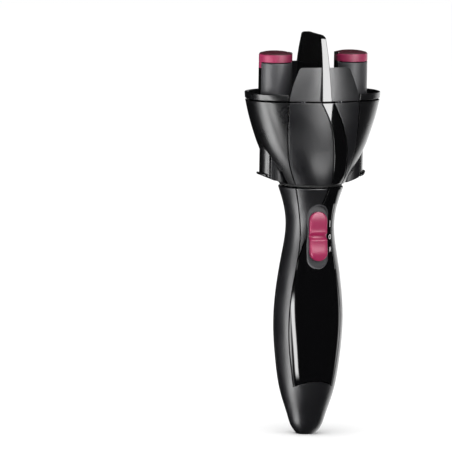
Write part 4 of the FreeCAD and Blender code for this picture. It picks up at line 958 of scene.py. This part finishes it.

# painted shade: the caps' tops are the same magenta plastic, painted darker where they face away from the
# lights
cap_top_painted_shade = moulded("abs_magenta_top_painted_shade", "#42081A", 0.55, 0.5, 0.006, tone=1.08)


def cap(side):
    bm = bmesh.new()
    spun(bm, CAP_WALL)
    dome = smooth_run([(-r, z) for r, z in CAP_DOME])
    # the dome's faces take the painted shade colour
    for f in spun(bm, [(r, dome(-r)) for r in np.linspace(CAP_DOME[0][0], 0.0, 24)]):
        f.material_index = 1
    bmesh.ops.translate(bm, vec=(TUBE_X, 0, 0), verts=bm.verts)
    finish_on_tube(side, "_cap_shell", bm, "_clip", [magenta_abs, cap_top_painted_shade],
                   stands_for=[side + "_cap"], slot="magenta")


def cap_tongue(side):
    bm = bmesh.new()
    tube_strip(bm, 10, 10, (-RIB_ANGLE, RIB_ANGLE), TUBE_R, (CAP_SKIRT + HAIRLINE, CAP_BASE + CAP_LAP))
    finish_on_tube(side, "_cap_tongue", bm, "_clip", [magenta_abs], slot="magenta", wall=0.8, edge=0.15)


for side in ("right", "left"):
    cap(side)
    cap_tongue(side)


# ---- pieces inside -------------------------------------------------------------------------------
# The drive, bearings, cells and fasteners are plain parts that the housings hide; each has the finish
# of its own material. The frame's black is also painted shade where the head core shows in the neck
# groove.
# black frame ABS, made darker and more matt than the shells: partly its own black, partly painted shade for
# the head core's rim in the neck groove
frame_abs_and_groove_shade = moulded("abs_frame_black_and_groove_shade", "#0B0B0C", 0.7, 0.5, 0.02)
acetal = moulded("acetal_natural", "#E6E2D6", 0.38, 0.8, 0.004, tone=1.0, ior=1.48)
bronze = moulded("bronze_sintered", "#8C6A3C", 0.45, 0.3, 0.01)
steel = moulded("steel_drawn", "#B8B8BC", 0.28, 0.2, 0.003, tone=1.05)
nickel = moulded("nickel_plate", "#C9C4B8", 0.22, 0.3, 0.002, tone=1.05)
jacket = moulded("cell_jacket_film", "#2E3036", 0.3, 1.0, 0.003)
for metal in (bronze, steel, nickel):
    metal.node_tree.nodes["Principled BSDF"].inputs["Metallic"].default_value = 1.0

INSIDE = {
    "head_core": frame_abs_and_groove_shade, "gearbox": frame_abs_and_groove_shade, "neck_bulkhead": frame_abs_and_groove_shade, "battery_tray": frame_abs_and_groove_shade,
    "slide_switch": frame_abs_and_groove_shade, "switch_tray": charcoal_abs, "neck_bush": acetal, "sun_gear": acetal,
    "right_ring_gear": acetal, "left_ring_gear": acetal, "shaft_bushes": bronze, "motor": nickel,
    "one_way_clutch": steel, "retaining_ring": steel, "handle_screws": steel, "head_screws": steel,
    "drive_shaft": steel, "right_pivot_pin": steel, "left_pivot_pin": steel, "right_jaw_spring": steel,
    "left_jaw_spring": steel, "contact_plates": nickel, "contact_springs": nickel, "left_cell": jacket,
    "right_cell": jacket,
}
for node, material in INSIDE.items():
    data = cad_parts[node].data
    data.materials.clear()
    data.materials.append(material)


# ---- floor and sky -------------------------------------------------------------------------------
# White floor under an even white sky. The floor isn't seen in reflections, so the black plastic
# stays black underneath.
scene = bpy.context.scene
scene.view_settings.view_transform = "Standard"

world = bpy.data.worlds.new("white_sky")
scene.world = world
world.use_nodes = True
world.node_tree.nodes["Background"].inputs["Color"].default_value = (1, 1, 1, 1)
world.node_tree.nodes["Background"].inputs["Strength"].default_value = 1.0


def stage_piece(name, bm, material):
    """Puts a piece of the photo set in the scene."""
    mesh = bpy.data.meshes.new(name)
    bm.to_mesh(mesh)
    bm.free()
    mesh.materials.append(material)
    made = bpy.data.objects.new(name, mesh)
    scene.collection.objects.link(made)
    return made


floor_paint = bpy.data.materials.new("paint_matt_white")
floor_paint.use_nodes = True
floor_shader = floor_paint.node_tree.nodes["Principled BSDF"]
floor_shader.inputs["Base Color"].default_value = (0.93, 0.93, 0.93, 1)
floor_shader.inputs["Roughness"].default_value = 0.9
floor_shader.inputs["Specular IOR Level"].default_value = 0.0
bm = bmesh.new()
bmesh.ops.create_circle(bm, cap_ends=True, segments=128, radius=16.0)
floor = stage_piece("floor", bm, floor_paint)
floor.visible_glossy = False


# ---- reflection wall -----------------------------------------------------------------------------
# A sphere of dark card with soft openings stands round the set. Only reflections see it, and it draws
# the highlights on the black plastic.
# Each opening: azimuth of its middle from the front towards +X, its height, half width, half height and
# softness, how far it leans sideways per degree down, all in degrees, and its brightness.
OPENINGS = [
    (-77, -16, 11, 25, 7, 0.2, 10.0),       # tall softbox on the left: band on the shells and wing
    (-91, -32, 8, 8, 8, 0.75, 9.0),         # small one beside it: carries the band up to the belt
    (-56, -10, 6, 12, 4, 0.75, 16.0),       # one nearer the camera: wedge on the gloss panel
    (-8, 27, 15, 14, 8, 0.0, 9.0),          # softbox above the camera: grey of the left shield
    (127, -22, 24, 38, 10, 0.0, 2.1),       # large card behind on the right: rim light
    (-14, 62, 50, 8, 8, 0.0, 2.0),          # long strip overhead: line on the rounded upper edges
]
CARD = 0.012                   # brightness of the card between them


def glowing(name):
    """A cloth that gives light: the material, and the socket that takes its brightness."""
    material = bpy.data.materials.new(name)
    material.use_nodes = True
    material.node_tree.nodes.clear()
    emit = add(material.node_tree, "ShaderNodeEmission", {"Color": (1, 1, 1, 1)})
    add(material.node_tree, "ShaderNodeOutputMaterial", {"Surface": emit.outputs[0]})
    return material, emit.inputs["Strength"]


def seen_in_reflections_only(card):
    for ray_kind in ("visible_camera", "visible_diffuse", "visible_transmission", "visible_shadow",
                     "visible_volume_scatter"):
        setattr(card, ray_kind, False)


cards, brightness = glowing("card_and_softboxes")
tree = cards.node_tree
spot = add(tree, "ShaderNodeTexCoord").outputs["Object"]
ray = add(tree, "ShaderNodeVectorMath", {0: spot}, operation="NORMALIZE").outputs["Vector"]
axes = add(tree, "ShaderNodeSeparateXYZ", {0: ray}).outputs
minus_y = add(tree, "ShaderNodeMath", {0: axes["Y"], 1: -1.0}, operation="MULTIPLY").outputs[0]
turn = add(tree, "ShaderNodeMath", {0: axes["X"], 1: minus_y}, operation="ARCTAN2").outputs[0]
rise = add(tree, "ShaderNodeMath", {0: axes["Z"]}, operation="ARCSINE").outputs[0]
glow = 0.0
for azimuth, height, half_w, half_h, soft, lean, level in OPENINGS:
    edges = []
    drop = add(tree, "ShaderNodeMath", {0: rise, 1: math.radians(-height)}, operation="ADD").outputs[0]
    skewed = add(tree, "ShaderNodeMath", {0: drop, 1: lean, 2: turn}, operation="MULTIPLY_ADD").outputs[0]
    spans = ((skewed, math.radians(azimuth), half_w), (rise, math.radians(height), half_h))
    for value, middle, half in spans:
        off = add(tree, "ShaderNodeMath", {0: value, 1: middle}, operation="SUBTRACT").outputs[0]
        away = add(tree, "ShaderNodeMath", {0: off}, operation="ABSOLUTE").outputs[0]
        inner, outer = math.radians(half - soft / 2), math.radians(half + soft / 2)
        edges.append(add(tree, "ShaderNodeMapRange", {
            "Value": away, "From Min": inner, "From Max": outer, "To Min": 1.0, "To Max": 0.0},
            interpolation_type="SMOOTHSTEP").outputs["Result"])
    opening = add(tree, "ShaderNodeMath", {0: edges[0], 1: edges[1]}, operation="MULTIPLY").outputs[0]
    lit = add(tree, "ShaderNodeMath", {0: opening, 1: level}, operation="MULTIPLY").outputs[0]
    glow = add(tree, "ShaderNodeMath", {0: glow, 1: lit}, operation="MAXIMUM").outputs[0]
total = add(tree, "ShaderNodeMath", {0: glow, 1: CARD}, operation="ADD").outputs[0]
tree.links.new(total, brightness)

bm = bmesh.new()
bmesh.ops.create_uvsphere(bm, u_segments=64, v_segments=32, radius=7.0)
bmesh.ops.reverse_faces(bm, faces=bm.faces)
wall = stage_piece("reflection_wall", bm, cards)
seen_in_reflections_only(wall)


# ---- close lights --------------------------------------------------------------------------------
# Small lights stand close to the head: a strip in front draws the white line on the fin, and a card
# below it greys the lower petal.
# Each is its azimuth and distance, its left side, the lower and upper end of its right side, its lower
# and upper edge, in metres, and its brightness.
CLOSE_LIGHTS = {
    "strip_light": (19, 0.170, -0.020, 0.005, 0.030, 0.172, 0.470, 17.0),
    "petal_card": (8, 0.062, -0.014, 0.016, 0.016, 0.150, 0.172, 4.5),
}
for name, (azimuth, away, left, right_low, right_high, low, high, level) in CLOSE_LIGHTS.items():
    bm = bmesh.new()
    corners = [(left, low), (right_low, low), (right_high, high), (left, high)]
    bm.faces.new([bm.verts.new((x, -away, z)) for x, z in corners])
    swing = Matrix.Rotation(math.radians(azimuth), 3, "Z")
    bmesh.ops.rotate(bm, cent=(0, 0, 0), matrix=swing, verts=bm.verts)
    cloth, brightness = glowing(name + "_cloth")
    brightness.default_value = level
    light = stage_piece(name, bm, cloth)
    seen_in_reflections_only(light)


# ---- overhead light and camera -------------------------------------------------------------------
# A wide softbox overhead evens the set and leaves a soft shadow at the foot; reflections don't see it.
# The camera is far off, so lines stay nearly parallel.
lamp = bpy.data.lights.new("overhead_softbox", "AREA")
lamp.shape, lamp.size, lamp.energy = "DISK", 3.0, 40.0
overhead = bpy.data.objects.new("overhead_softbox", lamp)
overhead.location = (-0.6, -0.8, 3.0)
aim = Vector((0, 0, 0.15))
overhead.rotation_euler = (overhead.location - aim).to_track_quat("Z", "Y").to_euler()
overhead.visible_glossy = False
scene.collection.objects.link(overhead)

# the view is from the left of the switch, a little from above, and leans by a degree
AZIMUTH, ELEVATION, LEAN = math.radians(-19), math.radians(6.5), math.radians(1.1)
DISTANCE, FRAME_WIDTH = 6.0, 0.2913
aside = Vector((math.cos(AZIMUTH), math.sin(AZIMUTH), 0))
LOOK_HEIGHT, LOOK_ASIDE = 0.1336, 0.0540
target = Vector((0, 0, LOOK_HEIGHT)) - aside * LOOK_ASIDE
outward = Vector((math.sin(AZIMUTH) * math.cos(ELEVATION), -math.cos(AZIMUTH) * math.cos(ELEVATION),
                  math.sin(ELEVATION)))
camera_data = bpy.data.cameras.new("camera")
camera_data.sensor_width = 36.0
camera_data.lens = 36.0 * DISTANCE / FRAME_WIDTH
camera = bpy.data.objects.new("camera", camera_data)
scene.collection.objects.link(camera)
camera.matrix_world = (Matrix.Translation(target + outward * DISTANCE)
                       @ outward.to_track_quat("Z", "Y").to_matrix().to_4x4()
                       @ Matrix.Rotation(LEAN, 4, "Z"))
camera_data.clip_end = 60.0
scene.camera = camera
